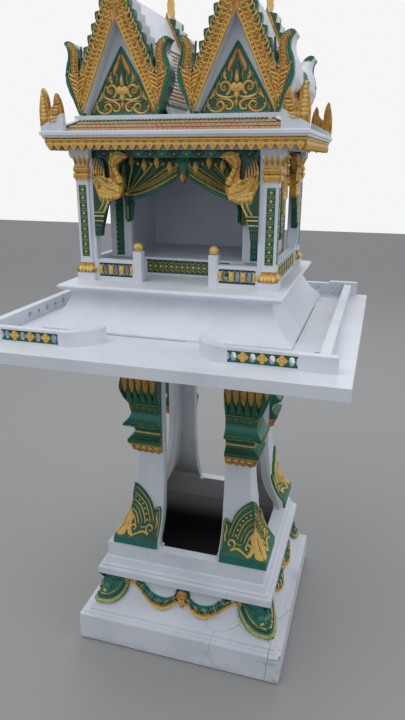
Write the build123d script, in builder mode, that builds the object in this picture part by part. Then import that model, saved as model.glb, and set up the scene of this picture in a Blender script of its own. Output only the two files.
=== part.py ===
from build123d import *
import math
import os

os.makedirs("parts", exist_ok=True)

# Overall sizes in millimetres. The middle of the pedestal stands at x 0, y 0;
# the front looks along -Y and the ground is z 0.
block_half_x = 329
block_half_y = 320
block_height = 106
ledge_x = 6
ledge_half = 281
neck_half = 252
neck_base = 298
tower_x = 18
tower_foot = 345
tower_waist = 177
tower_wall = 32
opening_half = 96
plate_bottom = 1056
plate_thick = 28
plate_half = 471
plate_front = -602
plate_back = 272
tray_half = 438
side_wall_half = 420
tray_front = -528
tray_wall_height = 36
tray_wall_thick = 22
house_y = -78
base_half_x = 324
base_half_y = 321
nose_half_x = base_half_x - 34
porch_level = 1198
room_level = 1248
column_half_x = base_half_x - 81
column_half_y = 193
column_top = 1524
eaves_x = 3
eaves_y = -66
eaves_half_x = column_half_x + 85
eaves_half_y = column_half_y + 79
eaves_level = 1549
roof_foot = 1590
gable_mid = 7
gable_x = 142
gable_foot = 1602
gable_half_y = 212
gable_half = 95
gable_rise = 206
board_width = 36
frame_depth = 70
horn_depth = 150

reach = 800
plate_top = plate_bottom + plate_thick
tray_top = plate_top + tray_wall_height


def half_edges(points, side):
    """Edges of an outline from points (x, z) or (x, z, bulge); a bulge makes the edge to it an arc."""
    edges = []
    for start, end in zip(points, points[1:]):
        ax, az = start[0] * side, start[1]
        bx, bz = end[0] * side, end[1]
        if len(end) == 3:
            length = math.hypot(bx - ax, bz - az)
            nx, nz = (bz - az) / length * side, -(bx - ax) / length * side
            middle = ((ax + bx) / 2 + nx * end[2], (az + bz) / 2 + nz * end[2])
            edges.append(ThreePointArc((ax, az), middle, (bx, bz)))
        else:
            edges.append(Line((ax, az), (bx, bz)))
    return edges


def mirrored_face(points):
    """Face with the given right-hand outline and its mirror image about the middle line."""
    edges = half_edges(points, 1) + half_edges(points, -1)
    low, high = points[0], points[-1]
    if low[0] > 0:
        edges.append(Line((low[0], low[1]), (-low[0], low[1])))
    if high[0] > 0:
        edges.append(Line((high[0], high[1]), (-high[0], high[1])))
    return make_face(edges)


def grown(points, amount):
    """The same outline with every half width made larger."""
    return [(p[0] + amount,) + tuple(p[1:]) for p in points]


def front_prism(face, y_from, y_to):
    """Solid between two planes along Y from a face drawn as (x, z)."""
    with BuildPart() as prism:
        with BuildSketch(Plane.XZ.offset(-y_to)):
            add(face)
        extrude(amount=y_to - y_from)
    return prism.part


def side_prism(face, x_from, x_to):
    """Solid between two planes along X from a face drawn as (y, z)."""
    plane = Plane(origin=(x_from, 0, 0), x_dir=(0, 1, 0), z_dir=(1, 0, 0))
    with BuildPart() as prism:
        with BuildSketch(plane):
            add(face)
        extrude(amount=x_to - x_from)
    return prism.part


def square_body(points, gain_y=0.0, centre_x=0.0, centre_y=0.0):
    """Body of rectangular plan whose half width follows the outline at every height."""
    deeper = [(p[0] + gain_y,) + tuple(p[1:]) for p in points]
    across = front_prism(mirrored_face(points), -reach, reach)
    along = side_prism(mirrored_face(deeper), -reach, reach)
    return Pos(centre_x, centre_y, 0) * (across & along)


def outline_face(points, origin=(0, 0), side=1, size=1.0):
    """Closed face from points in order round the shape, with arcs where a bulge is given."""
    moved = []
    for p in points:
        moved.append(((origin[0] + side * size * p[0]), origin[1] + size * p[1]) + tuple(size * b for b in p[2:]))
    edges = []
    ring = moved + [moved[0][:2]]
    for start, end in zip(ring, ring[1:]):
        if len(end) == 3:
            length = math.hypot(end[0] - start[0], end[1] - start[1])
            nx = (end[1] - start[1]) / length * side
            nz = -(end[0] - start[0]) / length * side
            middle = ((start[0] + end[0]) / 2 + nx * end[2], (start[1] + end[1]) / 2 + nz * end[2])
            edges.append(ThreePointArc(start[:2], middle, end[:2]))
        else:
            edges.append(Line(start[:2], end[:2]))
    return make_face(edges)


# Lower block: a square cast slab on the ground with a thin bead round its top edge.
block_body = square_body([
    (block_half_x - 6, 0),
    (block_half_x, 6),
    (block_half_x, block_height - 9),
    (block_half_x - 13, block_height - 7),
    (block_half_x - 13, block_height - 3),
    (block_half_x - 16, block_height),
], block_half_y - block_half_x)
with BuildPart() as plinth_block:
    add(block_body)
plinth_block.part.label = "plinth_block"
export_step(plinth_block.part, "parts/plinth_block.step")

# Sloping tier above it: hollow, with a concave flank that rises to the nose of the ledge.
cove_top = 232
tier_top = cove_top + 34
flank = [
    (block_half_x - 25, block_height),
    (block_half_x - 25, block_height + 6),
    (ledge_half - 22, cove_top, -9),
    (ledge_half - 4, cove_top + 4),
    (ledge_half, cove_top + 12, 2),
    (ledge_half, cove_top + 26),
    (ledge_half - 8, tier_top, 2),
]
flank_gain = block_half_y - block_half_x + 4
flank_body = square_body(flank, flank_gain, ledge_x)
well_half = neck_half - tower_wall
with BuildPart() as plinth_tier:
    add(flank_body)
    with Locations((ledge_x, 0, (block_height + tier_top) / 2)):
        Box(2 * well_half, 2 * well_half, tier_top - block_height, mode=Mode.SUBTRACT)
plinth_tier.part.label = "plinth_tier"
export_step(plinth_tier.part, "parts/plinth_tier.step")

# Stepped ledge and upright neck that carry the four legs.
ledge_body = square_body([
    (ledge_half - 12, tier_top),
    (ledge_half - 12, tier_top + 6),
    (ledge_half - 18, tier_top + 10),
    (neck_half + 6, neck_base - 6),
    (neck_half, neck_base, 1.5),
    (neck_half, tower_foot),
], 0, ledge_x)
with BuildPart() as neck_tier:
    add(ledge_body)
    with Locations((ledge_x, 0, (tier_top + tower_foot) / 2)):
        Box(2 * well_half, 2 * well_half, tower_foot - tier_top, mode=Mode.SUBTRACT)
neck_tier.part.label = "neck_tier"
export_step(neck_tier.part, "parts/neck_tier.step")

# Hollow tower: four legs that flare at the foot, with a tall rounded opening on each side.
foot_half = neck_half - 12
leg = [
    (foot_half, tower_foot),
    (foot_half - 2, tower_foot + 24),
    (tower_waist + 12, 500, -14),
    (tower_waist, 640, -3),
    (tower_waist, plate_bottom),
]
hollow = [
    (foot_half - tower_wall, tower_foot),
    (foot_half - tower_wall - 2, tower_foot + 20),
    (tower_waist + 12 - tower_wall, 500, -13),
    (tower_waist - tower_wall, 640, -3),
    (tower_waist - tower_wall, plate_bottom),
]
opening_top = plate_bottom - 26
sill_round = 10
window = mirrored_face([
    (opening_half - sill_round, tower_foot),
    (opening_half, tower_foot + sill_round, 3),
    (opening_half + 2, 640),
    (opening_half + 2, opening_top - 40),
    (opening_half - 30, opening_top, 10),
])
leg_body = square_body(leg, 0, tower_x)
hollow_body = square_body(hollow, 0, tower_x)
window_through = Pos(tower_x, 0, 0) * front_prism(window, -reach, reach)
window_across = side_prism(window, -reach, reach)
with BuildPart() as tower:
    add(leg_body)
    add(hollow_body, mode=Mode.SUBTRACT)
    add(window_through, mode=Mode.SUBTRACT)
    add(window_across, mode=Mode.SUBTRACT)
tower.part.label = "tower"
export_step(tower.part, "parts/tower.step")

# Carved capitals round the outside of each leg, from the scalloped hem up to the plate.
hem_bottom = 652
capital = [
    (tower_waist + 8, hem_bottom),
    (tower_waist + 14, hem_bottom + 3),
    (tower_waist + 27, hem_bottom + 32, -2),
    (tower_waist + 27, hem_bottom + 42),
    (tower_waist + 9, hem_bottom + 60, -3),
    (tower_waist + 8, hem_bottom + 70),
    (tower_waist + 37, hem_bottom + 91, -5),
    (tower_waist + 36, hem_bottom + 97),
    (tower_waist + 16, hem_bottom + 128, -4),
    (tower_waist + 31, hem_bottom + 184, -3),
    (tower_waist + 38, hem_bottom + 212),
    (tower_waist + 37, plate_bottom),
]
corner_from = opening_half + 5
capital_body = square_body(capital, 0, tower_x)
with BuildPart() as leg_capitals:
    add(capital_body)
    with Locations((tower_x, 0, (hem_bottom + plate_bottom) / 2)):
        Box(2 * tower_waist, 2 * tower_waist, plate_bottom - hem_bottom, mode=Mode.SUBTRACT)
    with Locations((tower_x, 0, 0)):
        Box(2 * corner_from, 2 * reach, 4 * reach, mode=Mode.SUBTRACT)
        Box(2 * reach, 2 * corner_from, 4 * reach, mode=Mode.SUBTRACT)
leg_capitals.part.label = "leg_capitals"
export_step(leg_capitals.part, "parts/leg_capitals.step")

# Flame leaf in low relief that wraps the foot of each leg.
leaf_depth = 7
leaf_top = 540
leaf_face = outline_face([
    (neck_half + 16, tower_foot),
    (neck_half + 16, tower_foot + 60),
    (tower_waist + 18, leaf_top),
    (tower_waist + 8, leaf_top - 6, 2),
    (opening_half + 30, tower_foot + 105, 12),
    (opening_half + 12, tower_foot + 123, -2),
    (opening_half + 5, tower_foot + 108, 2),
    (opening_half + 5, tower_foot),
])
leaf_mirror = mirror(leaf_face, about=Plane.YZ)
front_leaves = front_prism(leaf_face, -reach, reach) + front_prism(leaf_mirror, -reach, reach)
front_leaves = Pos(tower_x, 0, 0) * front_leaves
side_leaves = side_prism(leaf_face, -reach, reach) + side_prism(leaf_mirror, -reach, reach)
leaf_shell = square_body(grown(leg[:-1], leaf_depth), 0, tower_x) - leg_body
leaf_solids = leaf_shell & (front_leaves & side_leaves)
with BuildPart() as leg_leaves:
    add(leaf_solids)
leg_leaves.part.label = "leg_leaves"
export_step(leg_leaves.part, "parts/leg_leaves.step")

# Garland swags in relief on the sloping flank, one on each side between corner leaves.
swag_depth = 8
garland = [
    (16, 186),
    (58, 150, 5),
    (140, 214, 18),
    (154, 230),
    (138, 236),
    (62, 184, -15),
    (20, 204, -5),
]
corner_leaf = [
    (186, 231),
    (179, 223),
    (246, 137, 22),
    (302, 138, 3),
    (305, 150),
    (298, 231),
]
knob_height = 204
knob_radius = 22
hang = outline_face([(-9, 196), (9, 196), (6, 168), (-6, 168, 4)])
swag_parts = hang + Pos(0, knob_height) * Circle(knob_radius)
for hand in (1, -1):
    swag_parts += outline_face(garland, side=hand)
    swag_parts += outline_face(corner_leaf, side=hand)
swag_ahead = Pos(ledge_x, 0, 0) * front_prism(swag_parts, -reach, 0)
swag_astern = Pos(ledge_x, 0, 0) * front_prism(swag_parts, 0, reach)
swag_right = side_prism(swag_parts, 0, reach)
swag_left = side_prism(swag_parts, -reach, 0)
skin_y = square_body(flank, flank_gain + swag_depth, ledge_x) - flank_body
skin_x = square_body(grown(flank, swag_depth), flank_gain - swag_depth, ledge_x) - flank_body
front_swag_body = skin_y & swag_ahead
rear_swag_body = skin_y & swag_astern
left_swag_body = skin_x & swag_left
right_swag_body = skin_x & swag_right
with BuildPart() as front_swag:
    add(front_swag_body)
front_swag.part.label = "front_swag"
export_step(front_swag.part, "parts/front_swag.step")

with BuildPart() as rear_swag:
    add(rear_swag_body)
rear_swag.part.label = "rear_swag"
export_step(rear_swag.part, "parts/rear_swag.step")

with BuildPart() as side_swags:
    add(left_swag_body)
    add(right_swag_body)
side_swags.part.label = "side_swags"
export_step(side_swags.part, "parts/side_swags.step")

# Wide plate on the tower, longer at the front where offerings are set down.
slot_length = 24
with BuildPart() as plate:
    with Locations((0, (plate_front + plate_back) / 2, plate_bottom + plate_thick / 2)):
        Box(2 * plate_half, plate_back - plate_front, plate_thick)
    fillet(plate.edges().filter_by(Axis.Z), 4)
    with Locations(
        (plate_half - 83, plate_front + 212, plate_top - 6),
        (plate_half - 139, plate_back - 122, plate_top - 6),
    ):
        Box(slot_length, 7, 14, mode=Mode.SUBTRACT)
plate.part.label = "plate"
export_step(plate.part, "parts/plate.step")

# Low pierced walls round the plate, with an entrance gap at the front.
wall_mid = plate_top + tray_wall_height / 2
hole_pitch = 45
large_hole = 8.5
small_hole = 6
side_from = tray_front + tray_wall_thick
side_to = plate_back - tray_wall_thick
hole_row_start = side_from + 169
hole_count = int((side_to - 40 - hole_row_start) / hole_pitch) + 1
rear_hole_count = int((tray_half - 60) / hole_pitch)


def pierced_side_wall(hand):
    """Side wall with a row of small holes, large and small in turn."""
    with BuildPart() as wall:
        with Locations((hand * (side_wall_half - tray_wall_thick / 2), (side_from + side_to) / 2, wall_mid)):
            Box(tray_wall_thick, side_to - side_from, tray_wall_height)
        for index in range(hole_count):
            radius = large_hole if index % 2 == 0 else small_hole
            hole_y = hole_row_start + index * hole_pitch
            with Locations(Location((hand * side_wall_half, hole_y, wall_mid), (0, 90, 0))):
                Cylinder(radius, 4 * tray_wall_thick, mode=Mode.SUBTRACT)
    return wall.part


side_wall_bodies = pierced_side_wall(-1) + pierced_side_wall(1)
with BuildPart() as side_tray_walls:
    add(side_wall_bodies)
side_tray_walls.part.label = "side_tray_walls"
export_step(side_tray_walls.part, "parts/side_tray_walls.step")

with BuildPart() as rear_tray_wall:
    with Locations((0, plate_back - tray_wall_thick / 2, wall_mid)):
        Box(2 * tray_half, tray_wall_thick, tray_wall_height)
    for index in range(-rear_hole_count, rear_hole_count + 1):
        radius = large_hole if index % 2 else small_hole
        with Locations(Location((index * hole_pitch, plate_back, wall_mid), (90, 0, 0))):
            Cylinder(radius, 4 * tray_wall_thick, mode=Mode.SUBTRACT)
    for hand in (1, -1):
        with Locations((hand * (tray_half - 44), plate_back - tray_wall_thick / 2, tray_top + 3)):
            Box(88, tray_wall_thick, 6)
rear_tray_wall.part.label = "rear_tray_wall"
export_step(rear_tray_wall.part, "parts/rear_tray_wall.step")

# Front railings: a coped wall with a sunk pierced panel and an end that curls in to the house.
panel_from = 204
panel_to = 356
curl_to = 118
curl_back = -446
panel_pitch = 42


def front_railing(hand):
    """One front railing seen from the entrance gap out to the tray corner."""
    with BuildPart() as rail:
        with BuildSketch(Plane.XY.offset(plate_top)):
            with BuildLine():
                Line((hand * tray_half, tray_front), (hand * panel_from, tray_front))
                ThreePointArc(
                    (hand * panel_from, tray_front),
                    (hand * (curl_to + 26), tray_front + 26),
                    (hand * curl_to, curl_back),
                )
                Line((hand * curl_to, curl_back), (hand * (curl_to + 18), curl_back))
                ThreePointArc(
                    (hand * (curl_to + 18), curl_back),
                    (hand * (curl_to + 42), tray_front + 48),
                    (hand * panel_from, tray_front + tray_wall_thick),
                )
                Line(
                    (hand * panel_from, tray_front + tray_wall_thick),
                    (hand * tray_half, tray_front + tray_wall_thick),
                )
                Line((hand * tray_half, tray_front + tray_wall_thick), (hand * tray_half, tray_front))
            make_face()
        extrude(amount=tray_wall_height)
        middle = hand * (panel_from + panel_to) / 2
        with BuildSketch(Plane.XZ.offset(-tray_front)):
            with Locations((middle, wall_mid)):
                Rectangle(panel_to - panel_from, tray_wall_height - 9)
        extrude(amount=-4, mode=Mode.SUBTRACT)
        with BuildSketch(Plane.XZ.offset(-tray_front)):
            with Locations((middle, wall_mid)):
                with GridLocations(panel_pitch, 1, 4, 1):
                    Ellipse(6.5, 10)
        extrude(amount=-2 * tray_wall_thick, mode=Mode.SUBTRACT)
    return rail.part


left_rail_body = front_railing(-1)
with BuildPart() as front_left_railing:
    add(left_rail_body)
front_left_railing.part.label = "front_left_railing"
export_step(front_left_railing.part, "parts/front_left_railing.step")

right_rail_body = front_railing(1)
with BuildPart() as front_right_railing:
    add(right_rail_body)
front_right_railing.part.label = "front_right_railing"
export_step(front_right_railing.part, "parts/front_right_railing.step")

# Moulded base of the house: a concave skirt that rises to a jutting cornice nose.
base_body = square_body([
    (base_half_x, plate_top),
    (base_half_x, plate_top + 5),
    (base_half_x - 58, plate_top + 84, -9),
    (base_half_x - 58, plate_top + 92),
    (nose_half_x - 8, porch_level - 16, -3),
    (nose_half_x, porch_level - 10),
    (nose_half_x, porch_level - 3, 2),
    (nose_half_x - 4, porch_level),
], base_half_y - base_half_x, 0, house_y)
with BuildPart() as house_base:
    add(base_body)
house_base.part.label = "house_base"
export_step(house_base.part, "parts/house_base.step")

# Raised room floor with its step riser towards the porch.
room_inset = 28
room_half = column_half_x - room_inset
room_front = -172
room_back = house_y + column_half_y + 6
with BuildPart() as room_floor:
    with Locations((0, (room_front + room_back) / 2, (porch_level + room_level) / 2)):
        Box(2 * room_half, room_back - room_front, room_level - porch_level)
    with Locations((0, room_front, room_level - 4)):
        Box(2 * room_half, 12, 8)
room_floor.part.label = "room_floor"
export_step(room_floor.part, "parts/room_floor.step")

# Room walls: back wall and two side walls with sunk panels.
wall_thick = 18
side_panel_edge_y = 45
side_panel_edge_z = 35
with BuildPart() as back_wall:
    with Locations((0, room_back - wall_thick / 2, (room_level + column_top) / 2)):
        Box(2 * room_half, wall_thick, column_top - room_level)
back_wall.part.label = "back_wall"
export_step(back_wall.part, "parts/back_wall.step")


def room_side(hand):
    """Side wall of the room with a sunk upright panel outside."""
    length = room_back - wall_thick - room_front
    middle_y = room_front + length / 2
    middle_z = (room_level + column_top) / 2
    with BuildPart() as wall:
        with Locations((hand * (room_half - wall_thick / 2), middle_y, middle_z)):
            Box(wall_thick, length, column_top - room_level)
        with Locations((hand * room_half, middle_y, middle_z)):
            panel_length = length - 2 * side_panel_edge_y
            panel_rise = column_top - room_level - 2 * side_panel_edge_z
            Box(8, panel_length, panel_rise, mode=Mode.SUBTRACT)
    return wall.part


room_side_bodies = room_side(-1) + room_side(1)
with BuildPart() as room_side_walls:
    add(room_side_bodies)
room_side_walls.part.label = "room_side_walls"
export_step(room_side_walls.part, "parts/room_side_walls.step")

# Piers and head of the opening into the room.
pier_inner = 155
head_bottom = 1496
with BuildPart() as room_front_arch:
    for hand in (1, -1):
        with Locations((hand * (room_half + pier_inner) / 2, room_front - 9, (room_level + column_top) / 2)):
            Box(room_half - pier_inner, 18, column_top - room_level)
    with Locations((0, room_front - 9, (head_bottom + column_top) / 2)):
        Box(2 * pier_inner, 18, column_top - head_bottom)
room_front_arch.part.label = "room_front_arch"
export_step(room_front_arch.part, "parts/room_front_arch.step")

# Curtain modelled in relief: two halves looped up to ties at the piers.
curtain_half = [
    (0, head_bottom),
    (0, 1452),
    (22, 1460),
    (pier_inner - 10, 1414, 6),
    (pier_inner - 12, 1380, 3),
    (pier_inner - 8, 1350),
    (pier_inner + 6, 1344, 3),
    (pier_inner + 12, 1410),
    (pier_inner + 12, 1424, 2),
    (pier_inner + 4, head_bottom),
]


curtain_face = outline_face(curtain_half, side=1) + outline_face(curtain_half, side=-1)
curtain_body = front_prism(curtain_face, room_front - 30, room_front - 18)
with BuildPart() as curtain:
    add(curtain_body)
curtain.part.label = "curtain"
export_step(curtain.part, "parts/curtain.step")

# Four corner columns: plinth, gilt base, slim shaft, ringed neck and flared capital.
column_outline = [
    (25, porch_level),
    (25, porch_level + 18),
    (22, porch_level + 20),
    (23, porch_level + 32, 3),
    (18, porch_level + 46, -2),
    (17, porch_level + 56),
    (17, 1456),
    (21, 1462, 2),
    (18, 1470, 1),
    (21, 1478, 1),
    (18, 1488),
    (25, 1506, -3),
    (27, 1512),
    (27, column_top),
]
column_body = square_body(column_outline)


def place_column(side_x, side_y):
    """One column moved to its corner of the house."""
    return Pos(side_x * column_half_x, house_y + side_y * column_half_y, 0) * column_body


front_left_body = place_column(-1, -1)
with BuildPart() as front_left_column:
    add(front_left_body)
front_left_column.part.label = "front_left_column"
export_step(front_left_column.part, "parts/front_left_column.step")

front_right_body = place_column(1, -1)
with BuildPart() as front_right_column:
    add(front_right_body)
front_right_column.part.label = "front_right_column"
export_step(front_right_column.part, "parts/front_right_column.step")

rear_column_bodies = place_column(-1, 1) + place_column(1, 1)
with BuildPart() as rear_columns:
    add(rear_column_bodies)
rear_columns.part.label = "rear_columns"
export_step(rear_columns.part, "parts/rear_columns.step")

# Open arches between the columns: slim pilasters and a shallow head beam, with a parapet at the sides.
rail_top = 1253
pilaster_inner = column_half_x - 29
pilaster_outer = column_half_x - 17
beam_bottom = 1506
arch_depth = 24
front_line = house_y - column_half_y
with BuildPart() as front_arch:
    for hand in (1, -1):
        with Locations((hand * (pilaster_inner + pilaster_outer) / 2, front_line, (porch_level + column_top) / 2)):
            Box(pilaster_outer - pilaster_inner, arch_depth, column_top - porch_level)
    with Locations((0, front_line + arch_depth / 4, (beam_bottom + column_top) / 2)):
        Box(2 * pilaster_inner, arch_depth / 2, column_top - beam_bottom)
    add(front_left_body, mode=Mode.SUBTRACT)
    add(front_right_body, mode=Mode.SUBTRACT)
front_arch.part.label = "front_arch"
export_step(front_arch.part, "parts/front_arch.step")

side_pilaster_inner = column_half_y - 40
side_pilaster_outer = column_half_y - 17


def side_arch(hand):
    """Arch on one side of the house, set in line with the columns."""
    with BuildPart() as arch:
        for end in (1, -1):
            pilaster_y = house_y + end * (side_pilaster_inner + side_pilaster_outer) / 2
            with Locations((hand * column_half_x, pilaster_y, (porch_level + column_top) / 2)):
                Box(arch_depth, side_pilaster_outer - side_pilaster_inner, column_top - porch_level)
        beam_x = hand * (column_half_x - arch_depth / 4)
        with Locations((beam_x, house_y, (beam_bottom + column_top) / 2)):
            Box(arch_depth / 2, 2 * side_pilaster_inner, column_top - beam_bottom)
        with Locations((hand * column_half_x, house_y, (porch_level + rail_top) / 2)):
            Box(arch_depth - 4, 2 * side_pilaster_inner, rail_top - porch_level)
        for end in (1, -1):
            add(place_column(hand, end), mode=Mode.SUBTRACT)
    return arch.part


side_arch_bodies = side_arch(-1) + side_arch(1)
with BuildPart() as side_arches:
    add(side_arch_bodies)
side_arches.part.label = "side_arches"
export_step(side_arches.part, "parts/side_arches.step")

# Swan brackets: a bird on a tapered hanging pedestal, drawn outwards from the pilaster face.
swan = [
    (0, 1314),
    (18, 1314),
    (40, 1398, -4),
    (60, 1406),
    (78, 1424, 4),
    (82, 1448, 2),
    (76, 1464, 2),
    (67, 1476, -2),
    (68, 1490, -1),
    (80, 1500),
    (96, 1508),
    (84, 1516, 1),
    (58, 1516, 4),
    (46, 1494, 3),
    (48, 1460, -1),
    (40, 1449, 2),
    (32, 1460, 2),
    (34, 1478, -1),
    (31, 1496, 1),
    (19, 1506, 1),
    (8, 1488, 3),
    (0, 1470),
]
swan_thick = 16
swan_left_face = outline_face(swan, (-pilaster_inner, 0), 1)
swan_right_face = outline_face(swan, (pilaster_inner, 0), -1)
swan_front = front_line - swan_thick
front_swans_body = front_prism(swan_left_face, swan_front, swan_front + swan_thick)
front_swans_body += front_prism(swan_right_face, swan_front, swan_front + swan_thick)
with BuildPart() as front_swans:
    add(front_swans_body)
front_swans.part.label = "front_swans"
export_step(front_swans.part, "parts/front_swans.step")

side_swan_ahead = outline_face(swan, (house_y - side_pilaster_inner, 0), 1)
side_swan_astern = outline_face(swan, (house_y + side_pilaster_inner, 0), -1)
swan_out = column_half_x + swan_thick
side_swan_bodies = None
for swan_face in (side_swan_ahead, side_swan_astern):
    for inner in (swan_out - swan_thick, -swan_out):
        bird = side_prism(swan_face, inner, inner + swan_thick)
        side_swan_bodies = bird if side_swan_bodies is None else side_swan_bodies + bird
with BuildPart() as side_swans:
    add(side_swan_bodies)
side_swans.part.label = "side_swans"
export_step(side_swans.part, "parts/side_swans.step")

# Porch balustrades with a pierced panel, an end post and a ball on the post.
rail_length = 101
rail_inner = pilaster_inner - rail_length
rail_thick = 18
panel_height = 36
panel_middle = rail_top - 9 - panel_height / 2
post_half = 11.5
post_x = rail_inner - post_half
post_rise = 24
post_top = rail_top + post_rise
ball_radius = 12.5


def balustrade(hand):
    """Balustrade panel from the pilaster to its post."""
    middle = hand * (rail_inner + pilaster_inner) / 2
    length = pilaster_inner - rail_inner
    with BuildPart() as rail:
        with Locations((middle, front_line, (porch_level + rail_top) / 2)):
            Box(length, rail_thick, rail_top - porch_level)
        with Locations((middle, front_line - rail_thick / 2, panel_middle)):
            Box(length - 10, 6, panel_height, mode=Mode.SUBTRACT)
        with BuildSketch(Plane.XZ.offset(reach)):
            with Locations((middle, panel_middle)):
                with GridLocations(30, 1, 3, 1):
                    Ellipse(6, 13)
        extrude(amount=-2 * reach, mode=Mode.SUBTRACT)
    return rail.part


def rail_post(hand):
    """Square post with a ball set in its top."""
    with BuildPart() as post:
        with Locations((hand * post_x, front_line, (porch_level + post_top) / 2)):
            Box(2 * post_half, 2 * post_half, post_top - porch_level)
        with Locations((hand * post_x, front_line, post_top + ball_radius - 3)):
            Sphere(ball_radius)
    return post.part


balustrade_bodies = balustrade(-1) + balustrade(1)
with BuildPart() as balustrades:
    add(balustrade_bodies)
balustrades.part.label = "balustrades"
export_step(balustrades.part, "parts/balustrades.step")

post_bodies = rail_post(-1) + rail_post(1)
with BuildPart() as rail_posts:
    add(post_bodies)
rail_posts.part.label = "rail_posts"
export_step(rail_posts.part, "parts/rail_posts.step")

# Ceiling slab over columns and room, with the eaves cornice on it.
ceiling_half_x = column_half_x + 30
ceiling_half_y = column_half_y + 30
with BuildPart() as ceiling:
    with Locations((0, house_y, (column_top + eaves_level) / 2)):
        Box(2 * ceiling_half_x, 2 * ceiling_half_y, eaves_level - column_top)
ceiling.part.label = "ceiling"
export_step(ceiling.part, "parts/ceiling.step")

skirt_foot = eaves_level + 17
cornice_body = square_body([
    (eaves_half_x - 8, eaves_level),
    (eaves_half_x - 4, eaves_level + 7, 1.5),
    (eaves_half_x, eaves_level + 8),
    (eaves_half_x, skirt_foot - 2),
    (eaves_half_x - 3, skirt_foot),
], eaves_half_y - eaves_half_x, eaves_x, eaves_y)
with BuildPart() as eaves_cornice:
    add(cornice_body)
eaves_cornice.part.label = "eaves_cornice"
export_step(eaves_cornice.part, "parts/eaves_cornice.step")

# Valance under the eaves: a double gilt moulding with a fringe of hanging points.
valance_drop = 14
fringe_drop = 13
valance_thick = 10
valance_x = eaves_half_x - 10
valance_y = eaves_half_y - 10
fringe_pitch = 22


def fringe_face(half_length):
    """Band with a row of hanging points along its lower edge."""
    count = round(2 * half_length / fringe_pitch)
    pitch = 2 * half_length / count
    low = eaves_level - valance_drop
    corners = [(-half_length, eaves_level), (half_length, eaves_level)]
    for index in range(count):
        right = half_length - index * pitch
        corners.append((right, low))
        corners.append((right - pitch / 2, low - fringe_drop))
    corners.append((-half_length, low))
    return outline_face(corners)


front_fringe = Pos(eaves_x, 0) * fringe_face(valance_x)
side_fringe = Pos(eaves_y, 0) * fringe_face(valance_y - valance_thick)
front_valance_body = front_prism(front_fringe, eaves_y - valance_y, eaves_y - valance_y + valance_thick)
with BuildPart() as front_valance:
    add(front_valance_body)
front_valance.part.label = "front_valance"
export_step(front_valance.part, "parts/front_valance.step")

rear_valance_body = front_prism(front_fringe, eaves_y + valance_y - valance_thick, eaves_y + valance_y)
with BuildPart() as rear_valance:
    add(rear_valance_body)
rear_valance.part.label = "rear_valance"
export_step(rear_valance.part, "parts/rear_valance.step")

right_fringe = side_prism(side_fringe, eaves_x + valance_x - valance_thick, eaves_x + valance_x)
left_fringe = side_prism(side_fringe, eaves_x - valance_x, eaves_x + valance_thick - valance_x)
with BuildPart() as side_valances:
    add(right_fringe)
    add(left_fringe)
side_valances.part.label = "side_valances"
export_step(side_valances.part, "parts/side_valances.step")

# Low hipped skirt roof, and the flat base on it that carries the twin gabled roofs.
gable_base_x = 256
gable_base_y = gable_half_y + 4
with BuildPart() as skirt_roof:
    with BuildSketch(Plane.XY.offset(skirt_foot)):
        with Locations((eaves_x, eaves_y)):
            Rectangle(2 * (eaves_half_x - 22), 2 * (eaves_half_y - 22))
    with BuildSketch(Plane.XY.offset(roof_foot)):
        with Locations((gable_mid, house_y)):
            Rectangle(2 * gable_base_x - 12, 2 * gable_base_y)
    loft()
    with Locations((gable_mid, house_y, (roof_foot + gable_foot) / 2)):
        Box(2 * gable_base_x, 2 * gable_base_y, gable_foot - roof_foot)
skirt_roof.part.label = "skirt_roof"
export_step(skirt_roof.part, "parts/skirt_roof.step")

# Steep roofs with hollow insides behind the gables.
roof_offset = 30
roof_shell = 13
slope = gable_rise / gable_half
roof_outer = gable_half + roof_offset
roof_face = mirrored_face([
    (0, (roof_outer - roof_shell) * slope),
    (roof_outer - roof_shell, 0),
    (roof_outer, 0),
    (0, roof_outer * slope),
])
frame_front = house_y - gable_half_y
frame_back = house_y + gable_half_y
roof_from = frame_front + frame_depth
roof_to = frame_back - frame_depth
left_gable = gable_mid - gable_x
right_gable = gable_mid + gable_x
left_roof_body = front_prism(Pos(left_gable, gable_foot) * roof_face, roof_from, roof_to)
with BuildPart() as left_roof:
    add(left_roof_body)
left_roof.part.label = "left_roof"
export_step(left_roof.part, "parts/left_roof.step")

right_roof_body = front_prism(Pos(right_gable, gable_foot) * roof_face, roof_from, roof_to)
with BuildPart() as right_roof:
    add(right_roof_body)
right_roof.part.label = "right_roof"
export_step(right_roof.part, "parts/right_roof.step")

# Flame bargeboards: a steep frame with stepped teeth up the edge and a horned foliate foot.
tooth_rise = 24
tooth_count = 7
tooth_reach = 14
first_tooth = 122
horn_tip = [
    (gable_half + 38, 89, 5),
    (gable_half + 28, 129, 3),
    (gable_half + 38, 160, -4),
    (gable_half + 17, 160, 4),
    (gable_half + 5, 146, 2),
    (gable_half + 3, 128, -1),
    (gable_half + 7, 104, -1),
]
horn = [(gable_half + 5, 0), (gable_half + 20, 33, 2)] + horn_tip + [
    (gable_half + 7, 93),
    (gable_half + 2, 91, -1),
]
frame_outline = [(0, gable_rise), (gable_half, 0)] + horn
for index in range(round(tooth_count)):
    tooth_z = first_tooth + index * tooth_rise
    edge_x = gable_half - tooth_z / slope + board_width + tooth_reach
    frame_outline.append((edge_x + 2, tooth_z - tooth_rise + 6))
    frame_outline.append((edge_x + 4, tooth_z + 3, 1.5))
tip_height = first_tooth + tooth_count * tooth_rise
frame_outline.append((5, tip_height - tooth_rise + 8))
frame_outline.append((0, tip_height))
frame_face = mirrored_face(frame_outline)

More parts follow.
